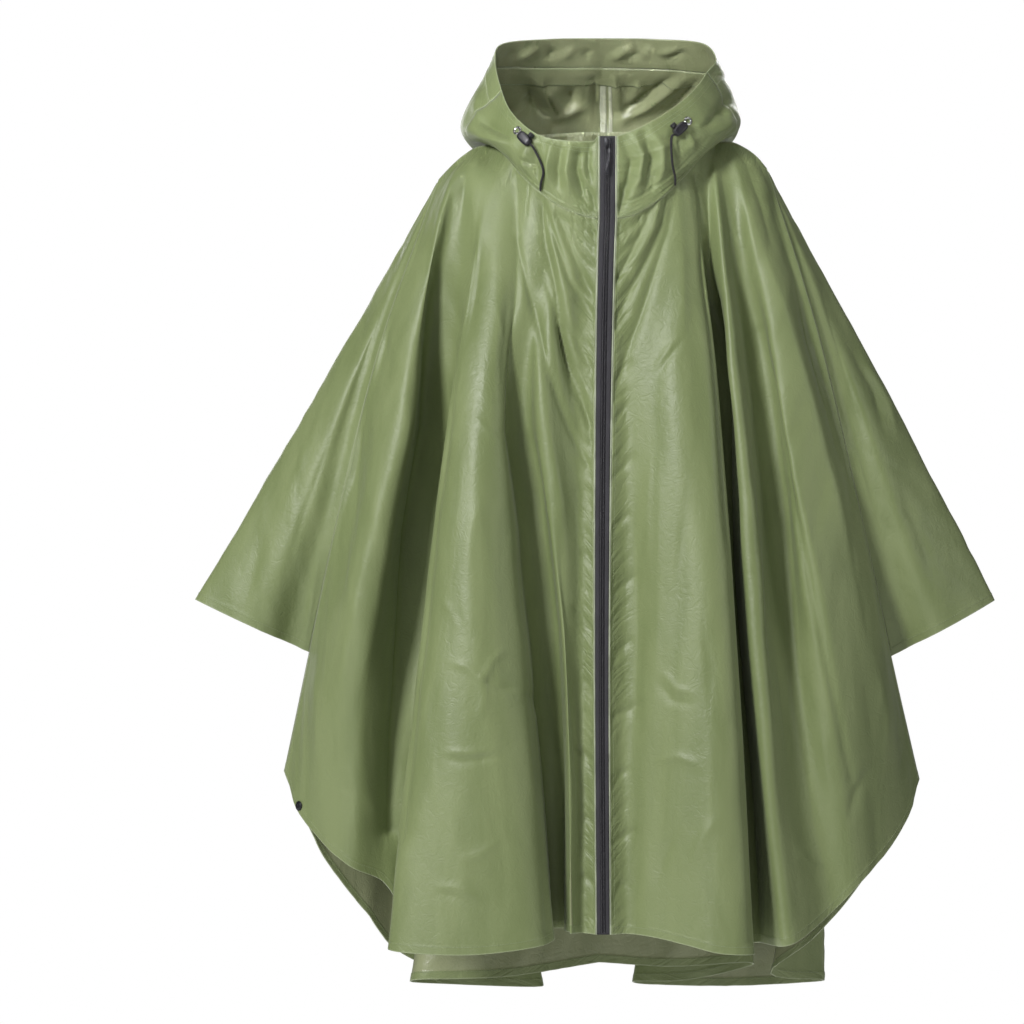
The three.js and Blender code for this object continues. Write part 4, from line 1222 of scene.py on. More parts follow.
def in_band(from_hem: Array) -> Array:
    """1 in the hem's turned band and 0 above it, with a soft step."""
    return 1 - smooth_step((from_hem - HEM_BAND + 0.6) / 1.2)


def lip(distance: Array, width: float) -> Array:
    """1 on the folded lip along a seam, as wide as given, and 0 past it."""
    return 1 - smooth_step((distance - width) / 2.0)


# The broad valleys and ridges of the fronts, which deepen the fold lines.
FRONT_FULLNESS = {
    Side.RIGHT: creases([
        (((-188, -67), (-200, -141), (-208, -223), (-213, -347), (-231, -471), (-241, -595), (-255, -719),
          (-263, -843)), 13.0, -30.0, 0.1, 0.5),
        (((-236, -200), (-250, -347), (-272, -471), (-290, -595), (-312, -719)), 14.0, 9.0),
        (((-110, -40), (-108, -130), (-107, -224), (-106, -347), (-87, -471), (-73, -595), (-66, -719),
          (-60, -860), (-56, -967)), 13.0, -19.0, 0.2, 0.7),
        (((-55, -420), (-51, -520), (-42, -600), (-36, -700), (-34, -820)), 8.0, -7.0),
        (((-97, -124), (-85, -220), (-77, -310), (-55, -434), (-36, -682)), 12.0, 6.0),
        (((-180, -124), (-225, -270), (-269, -409), (-300, -530), (-326, -656), (-340, -806)), 16.0, 7.0),
        (((-296, -300), (-312, -420), (-330, -560), (-352, -680)), 14.0, -8.0),
        (((-150, -90), (-160, -170), (-176, -260)), 10.0, -5.0),
    ]),
    Side.LEFT: creases([
        (((149, -31), (171, -153), (187, -224), (204, -347), (216, -459), (228, -558), (255, -756)),
         13.0, -19.0, 0.3),
        (((117, -99), (130, -170), (141, -223), (152, -330), (157, -420), (160, -520)), 7.0, -20.0),
        (((162, -11), (193, -114), (223, -197), (259, -321), (293, -459), (330, -620), (367, -756)),
         15.0, 7.0, 0.2),
        (((120, -60), (146, -200), (166, -330), (181, -471), (190, -595), (201, -719), (210, -843),
          (226, -980)), 9.0, 11.0, 0.3, 0.6),
        (((115, -31), (126, -141), (141, -186), (151, -308), (156, -391), (166, -558), (177, -756),
          (187, -980)), 6.0, -10.0, 0.3, 0.5),
        (((240, -160), (266, -260), (290, -360), (318, -480)), 12.0, -8.0),
        (((68, -340), (70, -480), (66, -640), (60, -800)), 16.0, 4.0),
        (((36, -420), (40, -600), (34, -800)), 12.0, -4.0),
    ]),
}

FRONT_CREASES = {
    Side.RIGHT: creases([
        (((-80, -62), (-74, -112), (-63, -159), (-48, -242), (-37, -308), (-22, -392)), 6.5, -4.6, 0.7),
        (((-68, -70), (-62, -118), (-52, -160), (-38, -230), (-24, -300)), 7.0, 2.2, 0.6),
        (((-57, -82), (-45, -112), (-32, -144), (-15, -176)), 5.0, -3.0, 0.8, 0.7),
        (((-75, -68), (-58, -118), (-43, -161), (-15, -203)), 3.6, -3.2, 0.6, 0.8),
        (((-60, -179), (-48, -250), (-33, -300), (-17, -343)), 3.8, -4.2, 0.2, 0.8),
        (((-76, -151), (-57, -217), (-29, -296), (-17, -362)), 3.6, -3.4, 0.2, 0.7),
        (((-109, -109), (-90, -180), (-71, -269), (-43, -343), (-20, -391)), 4.2, -3.6, 0.3, 0.6),
        (((-102, -325), (-95, -362), (-90, -419), (-89, -485)), 4.0, -3.4, 0.2, 0.0),
        (((-51, -85), (-34, -104), (-13, -122)), 4.4, -2.4, 0.8, 0.8),
        (((-42, -104), (-28, -124), (-13, -142)), 4.0, -2.0, 0.2, 0.9),
        (((-40, -88), (-26, -96), (-12, -103)), 3.8, -1.6, 0.8, 0.9),
        (((-38, -146), (-26, -166), (-13, -186)), 4.6, -2.2, 0.0, 0.9),
        (((-40, -176), (-26, -196), (-13, -212)), 4.4, -2.0, 0.0, 0.9),
        (((-50, -210), (-32, -240), (-14, -276)), 5.0, -2.4, 0.0, 0.9),
        (((-34, -262), (-22, -282), (-13, -300)), 4.0, -1.8, 0.0, 0.9),
        (((-36, -330), (-24, -352), (-13, -372)), 4.2, -1.7, 0.0, 0.9),
        (((-34, -412), (-22, -430), (-12, -452)), 4.6, -1.6, 0.0, 0.9),
        (((-28, -492), (-18, -508), (-11, -520)), 4.2, -1.4, 0.0, 0.9),
        (((-40, -560), (-24, -586), (-11, -604)), 5.0, -1.7, 0.0, 0.9),
        (((-30, -650), (-20, -664), (-11, -684)), 4.4, -1.5, 0.0, 0.9),
        (((-36, -736), (-22, -752), (-11, -760)), 5.0, -1.6, 0.0, 0.9),
        (((-26, -820), (-18, -832), (-11, -848)), 4.0, -1.4, 0.0, 0.9),
        (((-34, -896), (-20, -906), (-10, -920)), 5.0, -1.5, 0.0, 0.9),
        (((-118, -150), (-122, -240), (-126, -330)), 12.0, -2.6),
        (((-168, -322), (-140, -352), (-112, -372)), 3.4, 0.9),
        (((-134, -180), (-128, -214), (-118, -252)), 4.0, 0.9),
        (((-208, -548), (-190, -572), (-165, -615)), 4.0, 1.6),
        (((-200, -556), (-184, -580), (-160, -622)), 5.0, -1.4),
        (((-151, -656), (-172, -640), (-194, -634)), 4.0, 1.5, 1.0),
        (((-151, -656), (-138, -632), (-118, -616)), 4.0, 1.6, 1.0),
        (((-151, -656), (-150, -684), (-158, -716)), 4.5, 1.3, 1.0),
        (((-151, -656), (-128, -668), (-104, -668)), 4.5, -1.5, 1.0),
        (((-203, -754), (-170, -758), (-117, -750)), 4.0, -1.6),
        (((-206, -746), (-170, -748), (-120, -741)), 4.0, 1.2),
        (((-96, -664), (-82, -682), (-78, -706)), 7.0, -2.2),
        (((-216, -911), (-184, -916), (-141, -936)), 4.5, 1.5),
        (((-210, -919), (-180, -925), (-150, -946)), 4.5, -1.4),
        (((-124, -848), (-150, -872), (-186, -884)), 5.0, 1.2),
        (((-150, -420), (-164, -470), (-170, -540)), 9.0, 1.3),
        (((-100, -470), (-96, -560), (-84, -640)), 10.0, -1.6),
        (((-62, -420), (-52, -520), (-40, -600)), 9.0, -1.8),
        (((-232, -620), (-224, -700), (-226, -780)), 8.0, 1.3),
        (((-300, -300), (-312, -372), (-330, -450)), 8.0, -1.6),
        (((-262, -180), (-276, -250), (-290, -330)), 7.0, -1.8, 0.3),
        (((-318, -560), (-334, -640), (-352, -700)), 9.0, -1.8),
        (((-290, -520), (-298, -600), (-300, -690)), 9.0, 1.4),
        (((-360, -640), (-352, -700), (-356, -770)), 8.0, 1.5),
        (((-330, -770), (-316, -800), (-322, -850)), 7.0, -1.5),
        (((-300, -800), (-280, -824), (-262, -866)), 7.0, 1.5),
        (((-170, -10), (-176, -60), (-184, -120)), 7.0, -2.0, 0.6),
        (((-186, -20), (-196, -70), (-208, -130)), 8.0, 1.6, 0.5),
    ], 1.5),
    Side.LEFT: creases([
        (((61, -70), (46, -104), (29, -138), (13, -168)), 5.2, -3.2, 0.8, 0.8),
        (((81, -56), (74, -93), (56, -132), (37, -167), (13, -215)), 5.5, -3.4, 0.8, 0.8),
        (((90, -56), (80, -100), (66, -141), (48, -196), (29, -248), (13, -308)), 6.0, -3.0, 0.7, 0.7),
        (((70, -64), (62, -96), (44, -128), (22, -160)), 4.6, 1.8, 0.6, 0.3),
        (((52, -78), (38, -94), (17, -108)), 4.0, -2.2, 0.8, 0.9),
        (((44, -84), (32, -92), (16, -97)), 3.6, -1.8, 0.8, 0.9),
        (((46, -104), (32, -118), (16, -132)), 4.0, -2.0, 0.0, 0.9),
        (((40, -136), (28, -150), (16, -158)), 3.6, -1.5, 0.0, 0.9),
        (((42, -158), (30, -174), (16, -188)), 4.0, -1.8, 0.0, 0.9),
        (((36, -196), (26, -206), (15, -222)), 3.8, -1.4, 0.0, 0.9),
        (((38, -256), (26, -270), (15, -286)), 4.2, -1.6, 0.0, 0.9),
        (((30, -312), (22, -326), (15, -338)), 4.0, -1.5, 0.0, 0.9),
        (((42, -372), (28, -388), (14, -404)), 5.0, -1.5, 0.0, 0.9),
        (((34, -446), (24, -456), (14, -472)), 4.4, -1.4, 0.0, 0.9),
        (((44, -520), (28, -536), (14, -548)), 5.0, -1.6, 0.0, 0.9),
        (((36, -600), (24, -616), (14, -632)), 4.6, -1.5, 0.0, 0.9),
        (((52, -680), (32, -694), (13, -702)), 5.6, -1.7, 0.0, 0.9),
        (((34, -762), (24, -772), (13, -790)), 4.6, -1.4, 0.0, 0.9),
        (((46, -838), (28, -850), (13, -858)), 5.2, -1.6, 0.0, 0.9),
        (((32, -906), (22, -914), (13, -930)), 4.2, -1.3, 0.0, 0.9),
        (((102, -229), (84, -252), (63, -282)), 3.4, -1.3),
        (((96, -228), (78, -250), (58, -280)), 3.4, 1.0),
        (((96, -90), (98, -170), (100, -250)), 10.0, 2.2, 0.4),
        (((104, -420), (92, -520), (84, -640)), 12.0, -1.8),
        (((60, -360), (54, -450), (58, -560)), 12.0, 1.6),
        (((70, -640), (88, -668), (120, -676)), 4.2, 1.4),
        (((62, -652), (84, -682), (118, -690)), 4.6, -1.5),
        (((60, -760), (92, -752), (128, -768)), 5.0, 1.4),
        (((124, -580), (132, -640), (130, -712)), 8.0, -1.4),
        (((146, -820), (120, -856), (104, -900)), 6.0, 1.5),
        (((92, -838), (74, -876), (62, -926)), 7.0, -1.5),
        (((187, -224), (210, -321), (226, -407), (241, -471), (265, -583), (284, -670), (308, -781)),
         4.6, -3.8, 0.4, 0.5),
        (((196, -224), (220, -321), (236, -407), (252, -471), (276, -583), (294, -670)), 6.0, 2.0, 0.3),
        (((208, -61), (222, -104), (236, -146), (262, -253), (286, -350)), 9.0, -4.0, 0.4),
        (((162, -20), (178, -80), (192, -150)), 8.0, 2.2, 0.5),
        (((176, -16), (196, -70), (214, -140)), 7.0, -2.2, 0.5),
        (((228, -420), (244, -500), (250, -590)), 8.0, 1.6),
        (((300, -470), (318, -560), (334, -640)), 9.0, -2.0),
        (((338, -640), (350, -700), (352, -770)), 8.0, 1.6),
        (((330, -760), (312, -800), (300, -850)), 7.0, -1.8),
        (((270, -700), (278, -770), (290, -820)), 8.0, 1.6),
        (((206, -600), (214, -700), (224, -800)), 9.0, 1.8),
        (((238, -860), (252, -880), (276, -896)), 5.0, 1.4),
        (((360, -700), (372, -740), (368, -790)), 6.0, -1.5),
    ], 1.5),
}

BACK_CREASES = creases([
    (((-90, 10), (-96, -60), (-108, -150), (-126, -260)), 9.0, -3.6, 0.6),
    (((-60, 14), (-58, -70), (-64, -170)), 8.0, -3.0, 0.6),
    (((-30, 16), (-26, -50), (-30, -120)), 7.0, -2.6, 0.6),
    (((-8, 16), (-4, -80), (-10, -180)), 8.0, 2.2, 0.5),
    (((24, 16), (22, -50), (30, -140)), 7.0, -2.8, 0.6),
    (((52, 14), (58, -80), (70, -190)), 8.0, -3.2, 0.6),
    (((84, 10), (92, -60), (108, -160), (122, -270)), 9.0, -3.4, 0.6),
    (((114, 0), (132, -70), (150, -150)), 8.0, 2.6, 0.5),
    (((-118, 0), (-136, -80), (-156, -160)), 8.0, 2.6, 0.5),
    (((-176, -30), (-200, -110), (-226, -220)), 10.0, -2.8, 0.3),
    (((178, -30), (200, -120), (224, -230)), 10.0, -2.8, 0.3),
    (((-40, -260), (-62, -360), (-90, -480)), 12.0, 2.6),
    (((60, -300), (74, -400), (90, -520)), 12.0, 2.4),
    (((10, -340), (16, -460), (8, -600)), 14.0, -2.4),
    (((-190, -380), (-204, -500), (-216, -620)), 12.0, -2.4),
    (((210, -360), (220, -480), (232, -620)), 12.0, -2.4),
    (((-110, -560), (-98, -600), (-70, -622)), 5.0, 1.6),
    (((-104, -570), (-90, -612), (-62, -634)), 5.0, -1.5),
    (((130, -640), (152, -664), (180, -672)), 5.0, 1.6),
    (((136, -652), (156, -678), (184, -686)), 5.0, -1.5),
    (((-250, -640), (-262, -720), (-284, -800)), 10.0, 1.8),
    (((262, -640), (276, -720), (300, -800)), 10.0, 1.8),
    (((-60, -760), (-40, -790), (-8, -800)), 6.0, 1.6),
    (((40, -860), (66, -880), (100, -884)), 6.0, -1.6),
    (((-160, -840), (-186, -900), (-200, -960)), 9.0, 1.8),
    (((170, -820), (190, -900), (200, -980)), 9.0, -1.8),
], 2.6)


@dataclass
class Panel:
    """A front of the poncho, with its creases, its hem and its edge at the zip.

    Attributes:
        side: the wearer's side.
        rows: rows of the cloth's grid.
        columns: columns of it.
        thick: thickness of the shell.
        seam_lip: how far the folded edge at the armhole stands up.
    """

    side: Side
    rows: int = 300
    columns: int = 158
    thick: float = 0.8
    seam_lip: float = 0.55
    grid: Array = field(init=False)
    normals: Array = field(init=False)

    def __post_init__(self) -> None:
        """Lays out the base surface, closer beside the zip, and moves it by the creases."""
        places = even_places(self.side, -1, self.columns, lambda run: 1.0 + 1.4 * bump(run, 45.0))
        base = panel(self.side, -1, places, hem_shares(900.0, self.rows))
        self.grid = self.creased(base if self.side is Side.RIGHT else base[:, ::-1])
        self.normals = surface_normals(self.grid)

    def distances(self, grid: Array) -> tuple[Array, Array, Array, Array]:
        """How far each point of a grid lies from the zip, the armhole, the top seam and the hem."""
        from_zip, from_top = lengths_along(grid, 1), lengths_along(grid, 0)
        if self.side is Side.LEFT:
            from_zip = from_zip[:, -1:] - from_zip
        return from_zip, from_zip.max(axis=1, keepdims=True) - from_zip, from_top, from_top[-1:] - from_top

    def creased(self, base: Array) -> Array:
        """The base surface with its creases, hills and hem puckers.

        Heights are added along the normals. Near the seams they fade, so that neighbouring pieces
        still meet, and creases count only where the cloth faces the front.
        """
        normals, seen = surface_normals(base), VIEW.seen(base)
        height = sum(crease.raise_at(seen) for crease in FRONT_FULLNESS[self.side] + FRONT_CREASES[self.side])
        height *= smooth_step((-normals[..., 1] - 0.05) / 0.35)
        from_zip, from_armhole, from_top, from_hem = self.distances(base)
        seed = 11 if self.side is Side.RIGHT else 23
        height += 1.5 * rolling(from_zip, from_top, (46.0, 230.0), seed) * smooth_step(from_top / 120)
        height += 0.7 * rolling(from_zip, from_top, (17.0, 120.0), seed + 1) * smooth_step(from_top / 60)
        slanted = from_top + 0.9 * from_zip
        height -= 1.9 * bump(from_zip, 20.0) * folded(rolling(slanted, from_zip, (11.0, 34.0), seed + 2))
        height -= 1.6 * bump(from_top, 34.0) * folded(rolling(from_zip, from_top, (12.0, 60.0), seed + 3))
        height += 0.45 * bump(from_hem, 12.0) * rolling(from_zip, from_hem, (9.0, 30.0), seed + 4)
        height *= smooth_step(from_zip / 3.0) * smooth_step(from_top / 4.0)
        height *= smooth_step(from_armhole / 8.0)
        height += self.seam_lip * lip(from_armhole, 6.0) * smooth_step(from_top / 30.0)
        return base + normals * height[..., None]

    def build(self, finishes: Finishes, sewing: Sewing) -> bpy.types.Object:
        """Makes the cloth, and sews its hem and its edges at the zip and the armhole.

        Args:
            finishes: the materials' maker.
            sewing: takes the stitches.

        Returns:
            The object.
        """
        from_zip, from_armhole, from_top, from_hem = self.distances(self.grid)
        in_hem = in_band(from_hem)
        outer = self.grid + self.normals * (in_hem * HEM_RISE * HEM_PROUD)[..., None]
        uneven = 0.5 + 0.5 * rolling(from_zip, from_top, (60.0, 70.0), 17)
        gather = np.maximum.reduce([bump(from_zip, 24.0), bump(from_top, 26.0), 0.5 * bump(from_hem, 10.0)])
        gather *= -self.side.value * uneven
        piece = shell(f"poncho_front_{self.side.word}", outer, self.thick + HEM_RISE * in_hem, finishes,
                      turned_in=from_hem < HEM_BAND, gather=gather)
        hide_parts(f"front_{self.side.word}")
        row = nearest(from_hem.mean(axis=1), HEM_STITCH)
        sewing.lay(outer[row], self.normals[row])
        for away, reach in ((from_zip, 5.0), (from_armhole, 3.5)):
            column = nearest(away.mean(axis=0), reach)
            sewing.lay(outer[2:-2, column], self.normals[2:-2, column])
        return piece


@dataclass
class Back:
    """The back in one piece, from side seam to side seam."""

    rows: int = 226
    columns: int = 200
    thick: float = 0.8
    seam_lip: float = 0.55

    def build(self, finishes: Finishes, sewing: Sewing) -> bpy.types.Object:
        """Makes the cloth and sews its hem, outside and inside.

        The halves are laid from the centre back outwards and joined there. Creases count only where
        the cloth faces backwards.
        """
        falls = hem_shares(1040.0, self.rows)
        right, left = (panel(side, 1, even_places(side, 1, self.columns // 2 + 1, np.ones_like), falls)
                       for side in Side)
        base = np.concatenate([right[:, ::-1], left[:, 1:]], axis=1)
        normals = surface_normals(base)
        facing = smooth_step((normals[..., 1] - 0.05) / 0.35)
        height = sum(crease.raise_at(base[..., [0, 2]]) for crease in BACK_CREASES) * facing
        across, from_top = lengths_along(base, 1), lengths_along(base, 0)
        from_edge = np.minimum(across, across[:, -1:] - across)
        from_hem = from_top[-1:] - from_top
        height += 1.6 * rolling(across, from_top, (48.0, 240.0), 41) * smooth_step(from_top / 120)
        height += 0.7 * rolling(across, from_top, (18.0, 130.0), 42) * smooth_step(from_top / 60)
        height += 0.8 * bump(from_top, 22.0) * rolling(across, from_top, (8.0, 40.0), 43)
        height += 0.5 * bump(from_hem, 12.0) * rolling(across, from_hem, (9.0, 30.0), 44)
        height *= smooth_step(from_top / 4.0) * smooth_step(from_edge / 8.0)
        height += self.seam_lip * lip(from_edge, 6.0) * smooth_step(from_top / 30.0)
        in_hem = in_band(from_hem)
        outer = base + normals * (height + in_hem * HEM_RISE * HEM_PROUD)[..., None]
        piece = shell("poncho_back", outer, self.thick + HEM_RISE * in_hem, finishes,
                      turned_in=from_hem < HEM_BAND,
                      gather=np.maximum(bump(from_top, 26.0), 0.5 * bump(from_hem, 10.0)))
        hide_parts("back")
        row = nearest(from_hem.mean(axis=1), HEM_STITCH)
        outward = surface_normals(outer)[row]
        sewing.lay(outer[row], outward)
        sewing.lay(outer[row] - outward * (self.thick + HEM_RISE), -outward)
        return piece


# Creases of the sleeve ends, as they show from the front; the back face has them a little shifted.
SLEEVE_CREASES = {
    Side.RIGHT: creases([
        (((-262, -150), (-310, -300), (-352, -440)), 10.0, -2.8),
        (((-300, -200), (-360, -350), (-420, -500)), 9.0, 2.4),
        (((-330, -330), (-372, -450), (-404, -560)), 8.0, -2.6),
        (((-420, -470), (-440, -540), (-450, -576)), 7.0, -2.2, 0.0, 0.4),
        (((-350, -480), (-362, -560), (-372, -620)), 7.0, 2.0, 0.0, 0.4),
    ], 1.4),
    Side.LEFT: creases([
        (((262, -140), (300, -280), (340, -420)), 10.0, -2.8),
        (((296, -230), (336, -300), (352, -370)), 5.0, -2.2),
        (((312, -240), (352, -312), (372, -380)), 5.0, 2.0),
        (((360, -400), (392, -480), (420, -560)), 9.0, -2.6),
        (((300, -330), (330, -440), (372, -580)), 9.0, 2.2, 0.0, 0.4),
    ], 1.4),
}
BEHIND_SHIFT = (24.0, -30.0)  # where the back face of a sleeve reads the front's creases


@dataclass
class SleeveEnd:
    """A sleeve end, from the armhole line to the cuff, folded along its top."""

    side: Side
    rows: int = 130
    columns: int = 78
    thick: float = 0.7

    def build(self, finishes: Finishes, sewing: Sewing) -> bpy.types.Object:
        """Makes the cloth and sews the cuff. Creases fan out from the armhole on both faces."""
        falls = hem_shares(690.0, self.rows)[1:] * UNDERARM
        base = sleeve(self.side, np.linspace(0, 1, self.columns), falls)
        if self.side is Side.LEFT:
            base = base[:, ::-1]
        normals, seen = surface_normals(base), VIEW.seen(base)
        across, from_top = lengths_along(base, 1), lengths_along(base, 0)
        from_edge = np.minimum(across, across[:, -1:] - across)
        from_cuff = from_top[-1:] - from_top
        seed = 61 if self.side is Side.RIGHT else 71
        height = 1.3 * rolling(across, from_top, (30.0, 150.0), seed)
        height += 0.6 * rolling(across + 0.5 * from_top, from_top, (13.0, 90.0), seed + 1)
        height += 0.4 * bump(from_cuff, 12.0) * rolling(across, from_cuff, (9.0, 30.0), seed + 2)
        for crease in SLEEVE_CREASES[self.side]:
            height += crease.raise_at(seen) * smooth_step(-normals[..., 1] / 0.3)
            height += crease.raise_at(seen + BEHIND_SHIFT) * smooth_step(normals[..., 1] / 0.3)
        height *= smooth_step(from_edge / 10.0) * smooth_step(from_top / 30.0)
        in_hem = in_band(from_cuff)
        outer = base + normals * (height + in_hem * HEM_RISE * HEM_PROUD)[..., None]
        piece = shell(f"poncho_sleeve_{self.side.word}", outer, self.thick + HEM_RISE * in_hem, finishes,
                      turned_in=from_cuff < HEM_BAND)
        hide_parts(f"sleeve_{self.side.word}")
        row = nearest(from_cuff.mean(axis=1), HEM_STITCH)
        sewing.lay(outer[row], surface_normals(outer)[row])
        return piece


# Creases of the bib and the hood's outside (X, Z as they show), and of the inside of its back.
BIB_CREASES = creases([
    (((-18, 4), (-20, -20), (-14, -50)), 4.0, -2.0, 0.6),
    (((-30, 0), (-34, -24), (-26, -58), (-16, -72)), 4.6, -3.0, 0.5, 0.2),
    (((-42, 2), (-46, -26), (-40, -62)), 4.4, 2.2, 0.5),
    (((-54, 2), (-58, -24), (-56, -58)), 4.6, -2.8, 0.6),
    (((-66, 4), (-70, -22), (-66, -54)), 4.4, 2.2, 0.5),
    (((-84, 4), (-86, -16), (-80, -44)), 4.0, -2.6, 0.6),
    (((-96, 2), (-100, -14), (-98, -32)), 4.0, 2.0, 0.5),
    (((-104, -8), (-96, -16), (-86, -18)), 3.2, -1.4),
    (((-24, -40), (-14, -58), (-12, -74)), 3.4, -1.8, 0.2, 0.6),
    (((-40, -6), (-24, -2), (-12, -6)), 3.6, -1.6),
    (((24, 8), (34, -14), (28, -44), (18, -76)), 4.8, -2.8, 0.4, 0.4),
    (((38, 18), (48, -6), (44, -36), (30, -66)), 5.0, 2.4, 0.5),
    (((50, 18), (60, -10), (54, -44), (46, -66)), 4.8, -3.2, 0.4),
    (((58, 26), (72, 4), (72, -24), (60, -54)), 5.0, 2.2, 0.4),
    (((66, -20), (62, -44), (56, -60)), 4.0, -2.2),
    (((20, -40), (26, -56), (18, -80)), 3.6, -1.8, 0.2, 0.5),
    (((84, 20), (92, 0), (96, -20)), 4.6, -2.2, 0.4),
    (((100, 26), (108, 10), (112, -8)), 4.6, 1.8, 0.4),
    (((-150, 78), (-158, 52), (-150, 28)), 8.0, 2.0),
    (((-160, 40), (-132, 26), (-108, 12)), 7.0, -2.4),
    (((-168, 24), (-140, 14), (-116, 6)), 6.0, 1.8),
    (((156, 74), (150, 50), (152, 30)), 7.0, -2.2),
    (((150, 56), (134, 36), (118, 26)), 6.0, -2.2),
    (((164, 40), (148, 26), (128, 18)), 6.0, 1.8),
], 2.7)
INSIDE_CREASES = creases([
    (((-78, 84), (-66, 60), (-57, 44), (-62, 26)), 6.0, 3.4, 0.4),
    (((-96, 76), (-84, 52), (-70, 34)), 7.0, -3.6, 0.3),
    (((-23, 46), (-36, 52), (-57, 37)), 5.0, 3.0),
    (((-46, 80), (-38, 62), (-44, 44)), 6.0, -2.8),
    (((-12, 86), (-10, 60), (-5, 34)), 5.0, -2.8, 0.4, 0.4),
    (((14, 88), (18, 60), (26, 34)), 5.0, 2.8, 0.4, 0.4),
    (((99, 88), (58, 57), (19, 34)), 5.5, 3.6, 0.3, 0.4),
    (((84, 90), (52, 66), (16, 46)), 6.0, -3.4, 0.3, 0.3),
    (((114, 84), (84, 52), (58, 31)), 6.0, -3.4, 0.3, 0.3),
    (((124, 70), (104, 50), (84, 36)), 5.0, 2.6),
    (((46, 90), (40, 70), (24, 50)), 5.0, 2.4),
], 3.0)
BRIM_CREASES = creases([
    (((-81, 130), (-94, 120), (-110, 108)), 4.0, 2.2),
    (((-58, 130), (-66, 118), (-76, 108)), 4.0, -2.0),
    (((-36, 132), (-46, 118), (-52, 108)), 4.4, 2.0),
    (((-14, 128), (-24, 116), (-26, 106)), 3.8, -1.6),
    (((34, 132), (20, 118), (6, 108)), 4.4, 2.6),
    (((46, 124), (34, 114), (26, 106)), 3.8, -2.0),
    (((62, 132), (52, 120), (50, 108)), 4.2, 1.8),
    (((104, 126), (88, 116), (72, 108)), 4.4, -2.2),
    (((96, 130), (82, 122), (64, 118)), 4.0, 1.8),
    (((-112, 126), (-118, 116), (-124, 104)), 4.0, -1.6),
], 2.4)


